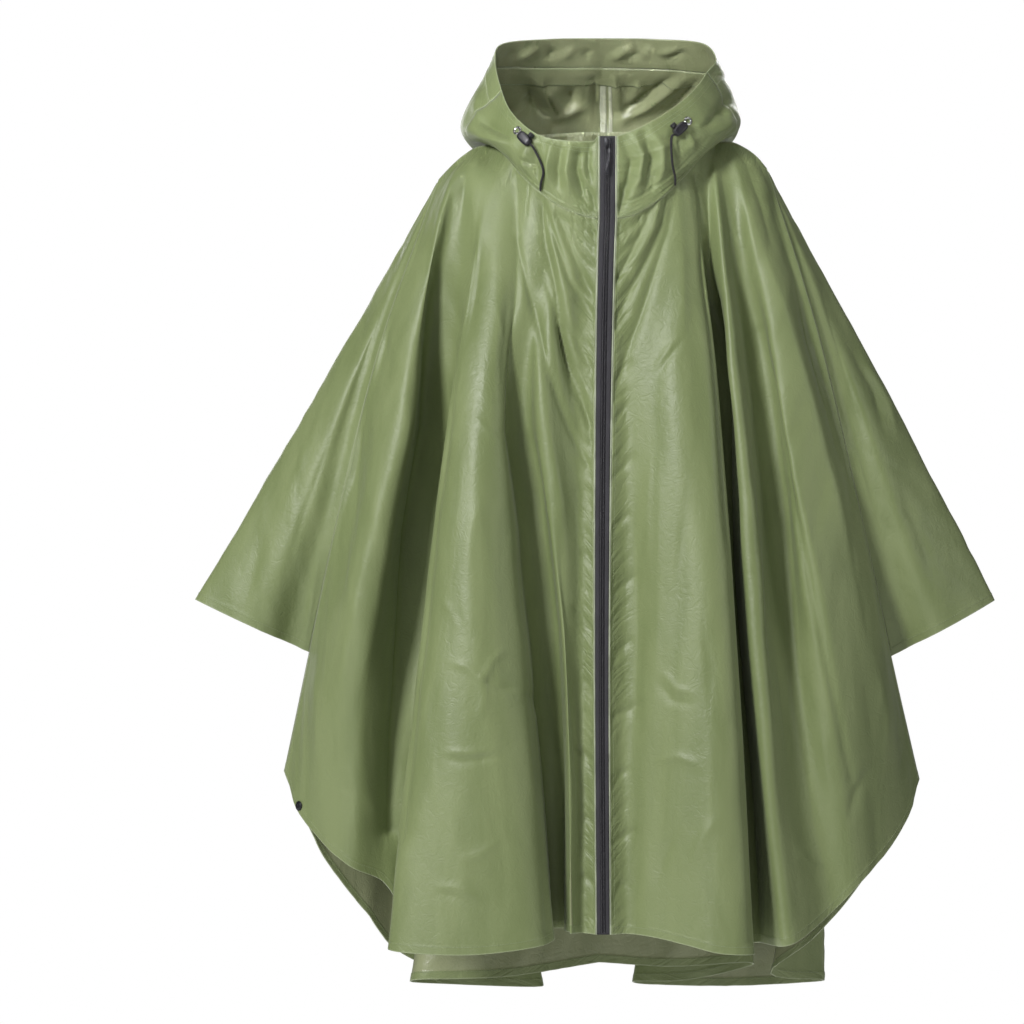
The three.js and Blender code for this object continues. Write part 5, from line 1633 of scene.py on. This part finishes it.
@dataclass
class Hood:
    """The hood lying back: two side panels that run on down the front as the bib, and the brim.

    Attributes:
        columns: columns of the grid, from the right zip edge round to the left one.
        rows: rows of it, from the rim to the neck seam.
        seam_lip: how far the bib's edge stands over the fronts at the neck seam.
        rim_sag: how far the mouth's edge drops beside the zip, on the right.
        rim_stitches: how far the two rows of stitches lie below the rim.
        thick, brim_thick, tape_thick: thicknesses of the cloth, the doubled brim and the tapes.
    """

    columns: int = 256
    rows: int = 108
    seam_lip: float = 0.9
    rim_sag: float = 6.0
    rim_stitches: tuple[float, float] = (9.5, 17.0)
    thick: float = 0.9
    brim_thick: float = 1.1
    tape_thick: float = 0.4

    def surface(self) -> tuple[Array, Array, Array]:
        """The whole hood's grid from the right zip edge round to the left one, its mouth's edge sagging.

        Returns:
            The points, the columns' places counted to 32, and the rows' shares.
        """
        at = np.linspace(0.0, HOOD_END, self.columns // 2 + 1)
        down = np.concatenate([np.linspace(0, BRIM_DOWN, 27), np.linspace(BRIM_DOWN, 1, self.rows - 26)[1:]])
        right, left = (hood(side, at, down) for side in Side)
        base = np.concatenate([right, left[:, ::-1][:, 1:]], axis=1)
        across, fall = lengths_along(base, 1), lengths_along(base, 0)
        sag = smooth_step(across / 6.0) * (1 - smooth_step((across - 70.0) / 45.0))
        base[..., 2] -= self.rim_sag * sag * (1 - smooth_step(fall / 30.0))
        return base, np.concatenate([at, 2 * HOOD_END - at[::-1][1:]]), down

    def creased(self, base: Array, at: Array, down: Array) -> Array:
        """The hood's surface with its gathers, wrinkles and seam lips.

        Bib creases count where the cloth faces the front, and those inside the back where it faces
        away, taken from the inner face, so a ridge seen from inside is a trough outside.
        """
        normals, seen = surface_normals(base), VIEW.seen(base)
        front = smooth_step((-normals[..., 1] - 0.02) / 0.3)
        behind = smooth_step((base[..., 1] - 20.0) / 25.0)
        height = sum(crease.raise_at(seen) for crease in BIB_CREASES) * front * (1 - behind)
        height -= sum(crease.raise_at(seen) for crease in INSIDE_CREASES) * behind
        across, from_rim = lengths_along(base, 1), lengths_along(base, 0)
        from_seam = from_rim[-1:] - from_rim
        from_zip = np.minimum(across, across[:, -1:] - across)
        height += 0.9 * rolling(across, from_rim, (22.0, 60.0), 81) * smooth_step(from_rim / 20)
        height += 0.9 * rolling(across, from_rim, (9.0, 50.0), 82) * bump(from_seam, 30.0)
        height += 0.5 * rolling(across, from_rim, (6.0, 20.0), 83) * bump(from_rim, 14.0)
        height *= smooth_step(from_zip / 3.0) * smooth_step(from_seam / 5.0) * smooth_step(from_rim / 4.0)
        in_brim = (at >= BRIM_STARTS) & (at <= 2 * HOOD_END - BRIM_STARTS)
        away = np.abs(down - BRIM_DOWN)[:, None] * 90.0
        height += in_brim[None] * 0.7 * bump(away, 2.5)
        height += self.seam_lip * lip(from_seam, 5.0)
        return base + normals * height[..., None]

    def build(self, finishes: Finishes, sewing: Sewing) -> list[bpy.types.Object]:
        """Makes the brim, the two halves and the tapes, and sews the rim, the bib's edges and the seam."""
        base, at, down = self.surface()
        outer = self.creased(base, at, down)
        normals = surface_normals(outer)
        seam_row, first = nearest(down, BRIM_DOWN), nearest(at, BRIM_STARTS)
        centre, last = len(at) // 2, len(at) - 1 - first
        made = [self.brim(outer[:seam_row + 1, first:last + 1], finishes)]
        for side, columns in ((Side.RIGHT, slice(0, centre + 1)), (Side.LEFT, slice(centre, len(at)))):
            made.append(self.half(side, outer[:, columns], seam_row, first, finishes))
        made += self.tapes(outer, seam_row, first, last, finishes, sewing)
        sewing.lay(outer[-4], normals[-4])
        fall = lengths_along(outer, 0).mean(axis=1)
        for row in (nearest(fall, reach) for reach in self.rim_stitches):
            sewing.lay(outer[row], normals[row])
        for column in (1, -2):
            sewing.lay(outer[2:-4, column], normals[2:-4, column])
        return made

    def brim(self, part: Array, finishes: Finishes) -> bpy.types.Object:
        """The doubled band round the back of the mouth, with its creases pressed in from the inside."""
        fold = sum(crease.raise_at(VIEW.seen(part)) for crease in BRIM_CREASES)
        inside = np.sin(np.linspace(0, math.pi, len(part)))[:, None]
        part = part - surface_normals(part) * (fold * inside)[..., None]
        piece = shell("poncho_hood_brim", part, np.full(part.shape[:2], self.brim_thick), finishes)
        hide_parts("hood_brim")
        return piece

    def tapes(self, outer: Array, seam_row: int, first: int, last: int, finishes: Finishes,
              sewing: Sewing) -> list[bpy.types.Object]:
        """The tapes on the inside: two down the centre back, one under the brim and one at the neck.

        Each is a strip of the hood's own surface between two rows and two columns, moved to the
        inside of the cloth.
        """
        centre, low, brim = len(outer[0]) / 2 - 0.5, len(outer) - 1.0, seam_row + 0.4
        seam = (seam_row + 1.0, low - 4.0)
        made = []
        for name, rows, columns, stand, look in (
            ("centre_tape_wide", seam, (centre - 0.3, centre + 1.3), 1.0, Look.SEAM_TAPE),
            ("centre_tape_narrow", seam, (centre + 1.9, centre + 2.8), 1.0, Look.SEAM_TAPE),
            ("brim_tape", (brim, brim + 9.0), (first + 1.0, last - 1.0), 1.35, Look.CLOTH_INSIDE),
            ("neck_tape", (low - 9.0, low - 0.5), (first - 6.0, last + 6.0), 1.2, Look.SEAM_TAPE),
        ):
            part = outer
            for start, stop in (rows, columns):
                count = max(5, int((stop - start) * 2))
                part = through(part, np.linspace(start, stop, count)).transpose(1, 0, 2)
            normals = surface_normals(part)
            across, fall = lengths_along(part, 1), lengths_along(part, 0)
            ripple = 1 + rolling(across, fall, (11.0, 14.0), 91) if name == "neck_tape" else 0.2
            part = part - normals * (stand + np.ones(part.shape[:2]) * ripple)[..., None]
            made.append(shell(f"poncho_{name}", part + normals * self.tape_thick,
                              np.full(part.shape[:2], self.tape_thick), finishes, looks=(look, look)))
            if name == "brim_tape":
                for row in (1, -2):
                    sewing.lay(part[row], -normals[row])
        return made

    def gathers(self, part: Array) -> Array:
        """How puckered the cloth is: most beside the neck seam and the brim's seam, a little elsewhere."""
        fall = lengths_along(part, 0)
        return 0.15 + 0.4 * np.maximum(bump(fall, 12.0), bump(fall[-1:] - fall, 16.0))

    def half(self, side: Side, outer: Array, seam_row: int, first: int,
             finishes: Finishes) -> bpy.types.Object:
        """One side panel: the front part up to the rim, and the back part up to the brim's seam.

        Both parts share the column where the brim starts, as one mesh.
        """
        split = first if side is Side.RIGHT else outer.shape[1] - 1 - first
        parts = [outer[:, :split + 1], outer[:, split:]][::-side.value]
        parts[1] = parts[1][seam_row:]
        shells = [closed_shell(part, np.full(part.shape[:2], self.thick)) for part in parts]
        vertices, uv, edge = (np.concatenate([made[k] for made in shells]) for k in (0, 2, 3))
        faces = [np.concatenate([a, b + len(shells[0][0])]) for a, b in zip(shells[0][1], shells[1][1])]
        gather = np.concatenate([np.tile(self.gathers(part).ravel(), 2) for part in parts])
        counts = [len(part) for part in faces]
        piece = new_piece(f"poncho_hood_{side.word}", vertices, faces, (Look.CLOTH, Look.CLOTH_INSIDE),
                          finishes, np.repeat([0, 1, 0], counts), np.repeat([False, False, True], counts),
                          uv, {"edge": edge, "gather": gather})
        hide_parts(f"hood_{side.word}")
        return piece


@dataclass
class Zip:
    """The full-length zip: piping, tapes and teeth between the two front edges.

    Attributes:
        rows: rows of each strip.
        pitch: from one tooth to the next.
        strips: name, from and to as shares of the width between the edges, thickness and finish.
    """

    rows: int = 330
    pitch: float = 1.6
    strips: tuple = (
        ("zip_piping_right", 0.0, 0.1, 1.8, Look.PIPING), ("zip_tape_right", 0.1, 0.37, 1.0, Look.TAPE),
        ("zip_coil", 0.36, 0.64, 1.2, Look.COIL), ("zip_tape_left", 0.63, 0.9, 1.0, Look.TAPE),
        ("zip_piping_left", 0.9, 1.0, 1.8, Look.PIPING))

    def edges(self) -> tuple[Array, Array]:
        """The right and the left front edge, from the rim of the hood to the hem."""
        lines = []
        for side in Side:
            zero = np.array([0.0])
            top = hood(side, zero, np.linspace(0, 1, 34))[:-1, 0]
            low = panel(side, -1, zero, np.linspace(0, 1, self.rows - 33))[:, 0]
            lines.append(np.concatenate([top, low]))
        return lines[0], lines[1]

    def build(self, finishes: Finishes) -> list[bpy.types.Object]:
        """Makes the strips, each slightly crowned across, and then the teeth."""
        right, left = self.edges()
        made = []
        for name, start, stop, thick, look in self.strips:
            share = np.linspace(stop, start, 7)
            grid = right[:, None] + (left - right)[:, None] * share[None, :, None]
            crown = np.sin(np.linspace(0, math.pi, 7)) * (1.2 if look is Look.PIPING else 0.2)
            grid = grid + surface_normals(grid) * crown[None, :, None]
            piece = shell(f"poncho_{name}", grid, np.full(grid.shape[:2], thick), finishes,
                          looks=(look, look))
            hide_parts(name)
            made.append(piece)
        return [*made, self.teeth(right, left, finishes)]

    def teeth(self, right: Array, left: Array, finishes: Finishes) -> bpy.types.Object:
        """The coil's loops: two rows of small pillows, half a pitch apart, meeting in the middle."""
        middle = (right + left) / 2
        run = run_of(middle)
        places, axes = [], []
        for k, sign in enumerate((-1.0, 1.0)):
            at = np.arange(self.pitch * (1 + k / 2), run[-1] - self.pitch, self.pitch)
            point, far = read_off(middle, run, at), read_off(left, run, at)
            x = unit((far - point) * sign)
            z = np.cross(x, read_off(middle, run, at + 0.5) - point) * sign
            z *= -np.sign(z[:, 1:2]) / np.linalg.norm(z, axis=1, keepdims=True)
            places.append(point + x * 1.55 + z * 0.3)
            axes.append(np.stack([x, np.cross(z, x), z], axis=1))
        vertices, faces = repeated(*stitch_shape(3.9, 1.25), np.concatenate(places), np.concatenate(axes))
        return new_piece("poncho_zip_teeth", vertices, faces, [Look.COIL], finishes)


@dataclass
class Slider:
    """The slider at the top of the zip, its bridge, and the pull tab that hangs on it.

    Sizes repeat the solids'. The frame's x is across, y is up and z is out of the cloth.
    """

    centre: tuple[float, float, float] = (2.5, -107.3, 1.0)
    width: float = 10.0
    height: float = 13.0
    tab_face: float = -111.45
    tab_top: float = 1.7
    tab_size: tuple[float, float, float] = (7.0, 40.0, 1.4)
    slot_size: tuple[float, float, float] = (2.8, 9.0, 1.4)

    def frame(self, y: float, z: float) -> tuple[Array, Array]:
        """A fitting's zero and its directions."""
        return np.array([self.centre[0], y, z]), np.array([[1.0, 0, 0], [0, 0, 1.0], [0, -1.0, 0]])

    def build(self, finishes: Finishes) -> list[bpy.types.Object]:
        """Makes the body, the bridge and the tab."""
        return [self.body(finishes), self.bridge(finishes), self.tab(finishes)]

    def body(self, finishes: Finishes) -> bpy.types.Object:
        """Two plates with a groove between them, rounded, with a raised crown on the front one."""
        body = Fitting(*self.frame(self.centre[1], self.centre[2]))
        outline = rounded_outline(self.width, self.height, 3.4, 56)
        outline[:, 0] *= 1 - 0.16 * smooth_step(-outline[:, 1] / self.height - 0.1)
        body.put(lofted(outline, (
            (1.0, 0.0), (0.3, 0.1), (0.0, 0.45), (0.0, 1.0), (0.5, 1.25), (0.5, 2.0), (0.0, 2.3),
            (0.0, 2.8), (0.3, 3.25), (1.1, 3.42))))
        body.put(turned(oval((3.5, 0.0), (0.55, 0.25), 12), 36), (0.0, 0.9, 3.35))
        return body.finish("poncho_slider", Look.DARK_METAL, finishes, "zip_slider")

    def bridge(self, finishes: Finishes) -> bpy.types.Object:
        """The bail that the tab hangs on: a flattened wire bent over from the top to the bottom."""
        bridge = Fitting(*self.frame(self.centre[1], self.centre[2]))
        bend = np.array([[0, 4.35, 3.1], [0, 4.4, 4.6], [0, 4.1, 5.9], [0, 3.0, 6.6], [0, 0, 6.7],
                         [0, -3.0, 6.6], [0, -4.1, 5.9], [0, -4.4, 4.6], [0, -4.35, 3.1]], float)
        vertices, faces = tube(through(bend, np.linspace(0, len(bend) - 1, 41)), 0.6, 14)
        vertices[:, 0] *= 1.45
        bridge.put((vertices, faces))
        return bridge.finish("poncho_slider_bridge", Look.DARK_METAL, finishes, "zip_bridge")

    def tab(self, finishes: Finishes) -> bpy.types.Object:
        """The pull tab: a plate with a slot for the bridge, and a ribbed grip on both faces."""
        width, length, thick = self.tab_size
        tab = Fitting(*self.frame(self.tab_face, self.tab_top))
        outline = rounded_outline(width, length, 5.0, 72) + [0, -length / 2]
        outline[:, 0] *= 0.8 + 0.2 * smooth_step((-outline[:, 1] - 8.0) / 8.0)
        slot_width, slot_length, bar = self.slot_size
        slot = rounded_outline(slot_width, slot_length, 4.0, 72) + [0, -bar - slot_length / 2]
        tab.put(pierced(outline, slot, ((0.3, 0.0), (0.05, 0.2), (0.0, 0.4), (0.0, thick - 0.4),
                                        (0.05, thick - 0.2), (0.3, thick))))
        rib = lofted(rounded_outline(width - 2.6, 1.1, 3.0, 20),
                     ((0.35, -0.12), (0.1, 0.0), (0.0, 0.15), (0.0, thick - 0.15), (0.1, thick),
                      (0.35, thick + 0.12)))
        for place in np.arange(-14.0, -37.0, -1.75):
            tab.put(rib, (0.0, place, 0.0))
        return tab.finish("poncho_pull_tab", Look.DARK_METAL, finishes, "zip_pull_tab", TAB_BODY)


@dataclass
class Snap:
    """The snap's cap near the right side seam: a dome with a rolled rim and a dimple.

    Attributes:
        fold: its place across the front, counted in folds from the zip.
        up: how far above the hem it lies.
        stand: how far its base stands off the solid's surface.
    """

    fold: float = 12.0
    up: float = 8.0
    stand: float = 0.8

    def build(self, finishes: Finishes) -> bpy.types.Object:
        """Makes the cap, on the front panel a little above the hem."""
        grid = panel(Side.RIGHT, -1, np.array([self.fold, self.fold + 0.02]), np.array([0.985, 1.0]))
        upward = unit(grid[0, 0] - grid[1, 0])
        normal = surface_normals(grid)[1, 0]
        cap = Fitting(grid[1, 0] + upward * self.up + normal * self.stand, axes_on(upward, normal))
        cap.put(lofted(rounded_outline(12.0, 12.0, 2.0, 40), (
            (0.6, 0.0), (0.1, 0.15), (0.0, 0.5), (0.1, 0.9), (0.7, 1.15), (1.1, 1.1), (1.5, 1.45),
            (2.6, 1.95), (3.8, 2.15), (4.4, 2.1), (4.8, 1.8), (5.4, 1.7))))
        return cap.finish("poncho_snap", Look.DARK_METAL, finishes, "snap_right")


@dataclass
class DrawCord:
    """One free end of the hood's draw cord, from its lock down over the bib.

    The sizes and the route repeat the solids'.
    """

    side: Side
    radius: float = 1.5
    lead: float = 5.0
    over: tuple[tuple[float, float], ...] = ((0.6, 4.76), (0.8, 4.08), (0.95, 3.57))

    EYELET_AT = {Side.RIGHT: (5.8, 0.2), Side.LEFT: (5.3, 0.3)}
    LOCK_TOWARDS = {Side.RIGHT: (3.7, 0.42, 2.6), Side.LEFT: (3.4, 0.36, 2.2)}
    END_AT = {Side.RIGHT: 3.4, Side.LEFT: 3.5}
    LOCK_LENGTH, LOCK_DEPTH, LOCK_LEAD, GAP = 20.0, 9.0, 8.0, 0.3

    def lock_frame(self) -> tuple[Array, Array, Array]:
        """The cord lock's middle, its run away from the eyelet and the way out from the cloth."""
        eye, _, eye_out = on_hood(self.side, *self.EYELET_AT[self.side])
        at, down, stand = self.LOCK_TOWARDS[self.side]
        far, _, far_out = on_hood(self.side, at, down)
        run, out = unit(far - eye), unit(eye_out + far_out)
        out = unit(out - run * (out @ run))
        middle = eye + run * (self.LOCK_LEAD + self.LOCK_LENGTH / 2) + out * (stand + self.LOCK_DEPTH / 2)
        return middle, run, out

    def route(self) -> Array:
        """The cord's path: straight out of the lock, then over the bib."""
        middle, run, _ = self.lock_frame()
        start = middle + run * (self.LOCK_LENGTH / 2 + self.GAP)
        points = [start, start + run * self.lead]
        for down, stand in self.over:
            place, _, normal = on_hood(self.side, self.END_AT[self.side], down)
            points.append(place + normal * stand)
        return through(np.array(points), np.linspace(0, len(points) - 1, 33))

    def eyelet(self, finishes: Finishes) -> bpy.types.Object:
        """The metal eyelet: a rolled rim turned from a flat oval, a little sunk in the cloth."""
        place, below, normal = on_hood(self.side, *self.EYELET_AT[self.side])
        ring = Fitting(place, axes_on(below, normal))
        ring.put(turned(oval((4.1, 1.15), (1.45, 0.65), 14)))
        return ring.finish(f"poncho_eyelet_{self.side.word}", Look.BRIGHT_METAL, finishes,
                           f"eyelet_{self.side.word}")

    def lock(self, finishes: Finishes) -> list[bpy.types.Object]:
        """The cord lock: a rounded barrel with a moulding line, two lips for the cord, and its button."""
        middle, run, out = self.lock_frame()
        barrel, button = (Fitting(middle, np.array([np.cross(run, out), run, out])) for _ in range(2))
        barrel.put(lofted(rounded_outline(12.0, self.LOCK_LENGTH, 3.6), (
            (3.2, -4.45), (1.5, -4.2), (0.4, -3.2), (0.0, -1.8), (0.0, -0.5), (0.35, -0.3), (0.35, 0.3),
            (0.0, 0.5), (0.0, 1.8), (0.4, 3.2), (1.5, 4.2), (3.2, 4.45))))
        for end in (-1, 1):
            barrel.put(turned(oval((2.5, 0.0), (0.7, 0.5), 10), 24),
                       (0, end * (self.LOCK_LENGTH / 2 - 0.25), 0), [[1, 0, 0], [0, 0, -1], [0, 1, 0]])
        layers = [(0.9, -2.5), (0.3, -2.3), (0.3, -1.6), (0.0, -1.4)]
        for start in (-1.2, -0.4, 0.4, 1.2):
            layers += [(0.0, start), (0.3, start + 0.15), (0.3, start + 0.45), (0.0, start + 0.6)]
        layers += [(0.3, 2.2), (1.0, 2.5)]
        push = self.side.value * (6.0 + 2.5 + self.GAP)
        button.put(lofted(rounded_outline(7.8, 7.8, 2.0, 32), layers), (push, 4.0, 0),
                   [[0, self.side.value, 0], [0, 0, 1], [self.side.value, 0, 0]])
        word = self.side.word
        return [fitting.finish(f"poncho_{part}_{word}", Look.PLASTIC, finishes, f"{part}_{word}")
                for fitting, part in ((barrel, "cord_lock"), (button, "cord_button"))]

    def build(self, finishes: Finishes) -> list[bpy.types.Object]:
        """Makes the braided cord, its lock and button, and its eyelet.

        The braid is a diamond relief: the product of two waves that run round the cord both ways.
        The last millimetres are drawn together where the end is sealed.
        """
        path = self.route()
        close = through(path, np.linspace(0, len(path) - 1, 4 * len(path)))
        run = np.linalg.norm(np.gradient(close, axis=0), axis=1).cumsum()[:, None]
        sides = 16
        angle = circle(sides)[None]
        braid = np.sin(4 * angle + run * 1.9) * np.sin(4 * angle - run * 1.9)
        sealed = 1 - 0.45 * smooth_step((run - run[-1] + 2.5) / 2.5)
        vertices, faces = tube(close, (self.radius - 0.12 + 0.16 * braid) * sealed, sides)
        piece = new_piece(f"poncho_cord_{self.side.word}", vertices, faces, [Look.CORD], finishes)
        locks = self.lock(finishes)
        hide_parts(f"cord_{self.side.word}")
        return [piece, *locks, self.eyelet(finishes)]


@dataclass(frozen=True)
class Lamp:
    """A square soft light: its name, place, size in metres, power in watts and what it is turned to.

    A spread below 180 degrees makes it a honeycombed one, which lights only what it is turned to.
    """

    name: str
    place: tuple[float, float, float]
    size: float
    power: float
    aim: tuple[float, float, float] = (0.0, 0.0, -0.5)
    spread: float = 180.0


@dataclass
class Studio:
    """A pale round floor, a white surround, and soft lights to both sides of the poncho."""

    floor: float = -1.55
    floor_radius: float = 4.0
    surround: float = 0.055
    lamps: tuple[Lamp, ...] = (
        Lamp("softbox_key", (-2.5, -3.6, 1.5), 0.8, 232.0),
        Lamp("softbox_right", (3.2, -1.8, 0.6), 1.2, 20.0),
        Lamp("softbox_top", (-0.2, -1.2, 3.0), 1.0, 36.0),
        Lamp("softbox_hood", (-0.25, -2.6, 0.62), 0.35, 0.2, (0.0, 0.1, 0.1), 9.0),
        Lamp("softbox_behind", (0.9, 3.9, 1.3), 1.2, 120.0),
        Lamp("softbox_behind_right", (-1.6, 3.5, 0.3), 1.4, 30.0),
    )

    def build(self) -> None:
        """Makes the floor, the surround and the lamps."""
        rim = np.column_stack([oval((0.0, 0.0), (1.0, 1.0), 96), np.zeros(96)]) * self.floor_radius
        mesh = bpy.data.meshes.new("floor")
        mesh.from_pydata((rim + [0, 0, self.floor]).tolist(), [], [list(range(96))])
        floor = bpy.data.objects.new("floor", mesh)
        mesh.materials.append(self.floor_finish())
        bpy.context.scene.collection.objects.link(floor)
        bpy.context.scene.world = self.white_surround()
        for lamp in self.lamps:
            self.hang(lamp)
        bpy.context.scene.view_settings.view_transform = "Standard"

    def floor_finish(self) -> bpy.types.Material:
        """Pale matt paper."""
        material = bpy.data.materials.new("pale_paper")
        material.use_nodes = True
        Nodes(material.node_tree).feed(
            material.node_tree.nodes["Principled BSDF"], Base_Color=(0.85, 0.85, 0.85, 1), Roughness=1.0,
            Specular_IOR_Level=0.0, Emission_Color=(1, 1, 1, 1), Emission_Strength=0.12)
        return material

    def white_surround(self) -> bpy.types.World:
        """White where the camera looks past the poncho, and a dimmer soft light from all round."""
        world = bpy.data.worlds.new("studio")
        world.use_nodes = True
        nodes = Nodes(world.node_tree)
        seen, soft = (nodes.add("ShaderNodeBackground", Color=(1, 1, 1, 1), Strength=strength).outputs[0]
                      for strength in (1.0, self.surround))
        direct = nodes.add("ShaderNodeLightPath").outputs["Is Camera Ray"]
        mixed = nodes.add("ShaderNodeMixShader", i0=direct, i1=soft, i2=seen).outputs[0]
        nodes.feed(world.node_tree.nodes["World Output"], Surface=mixed)
        return world

    def hang(self, lamp: Lamp) -> None:
        """Hangs one lamp, turned to its aim."""
        data = bpy.data.lights.new(lamp.name, "AREA")
        data.shape, data.size, data.energy = "SQUARE", lamp.size, lamp.power
        data.spread = math.radians(lamp.spread)
        light = bpy.data.objects.new(lamp.name, data)
        light.location = lamp.place
        x, y, z = np.array(lamp.aim) - np.array(lamp.place)
        light.rotation_euler = (math.atan2(math.hypot(x, y), -z), 0.0, math.atan2(-x, y))
        bpy.context.scene.collection.objects.link(light)


def main() -> None:
    """Builds the poncho piece by piece and logs each one."""
    logging.basicConfig(level=logging.INFO, format="%(name)s: %(message)s")
    VIEW.place()
    finishes = Finishes()
    made = [piece for side in Side for piece in DrawCord(side).build(finishes)]
    sewing = Sewing()
    made += [Panel(side).build(finishes, sewing) for side in Side]
    made.append(Back().build(finishes, sewing))
    made += [SleeveEnd(side).build(finishes, sewing) for side in Side]
    made += Hood().build(finishes, sewing)
    made += Zip().build(finishes)
    made += Slider().build(finishes)
    made.append(Snap().build(finishes))
    made.append(sewing.finish("poncho_topstitching", finishes))
    for piece in made:
        LOG.info("%s: %d faces", piece.name, len(piece.data.polygons))
    Studio().build()


if __name__ == "__main__":
    main()
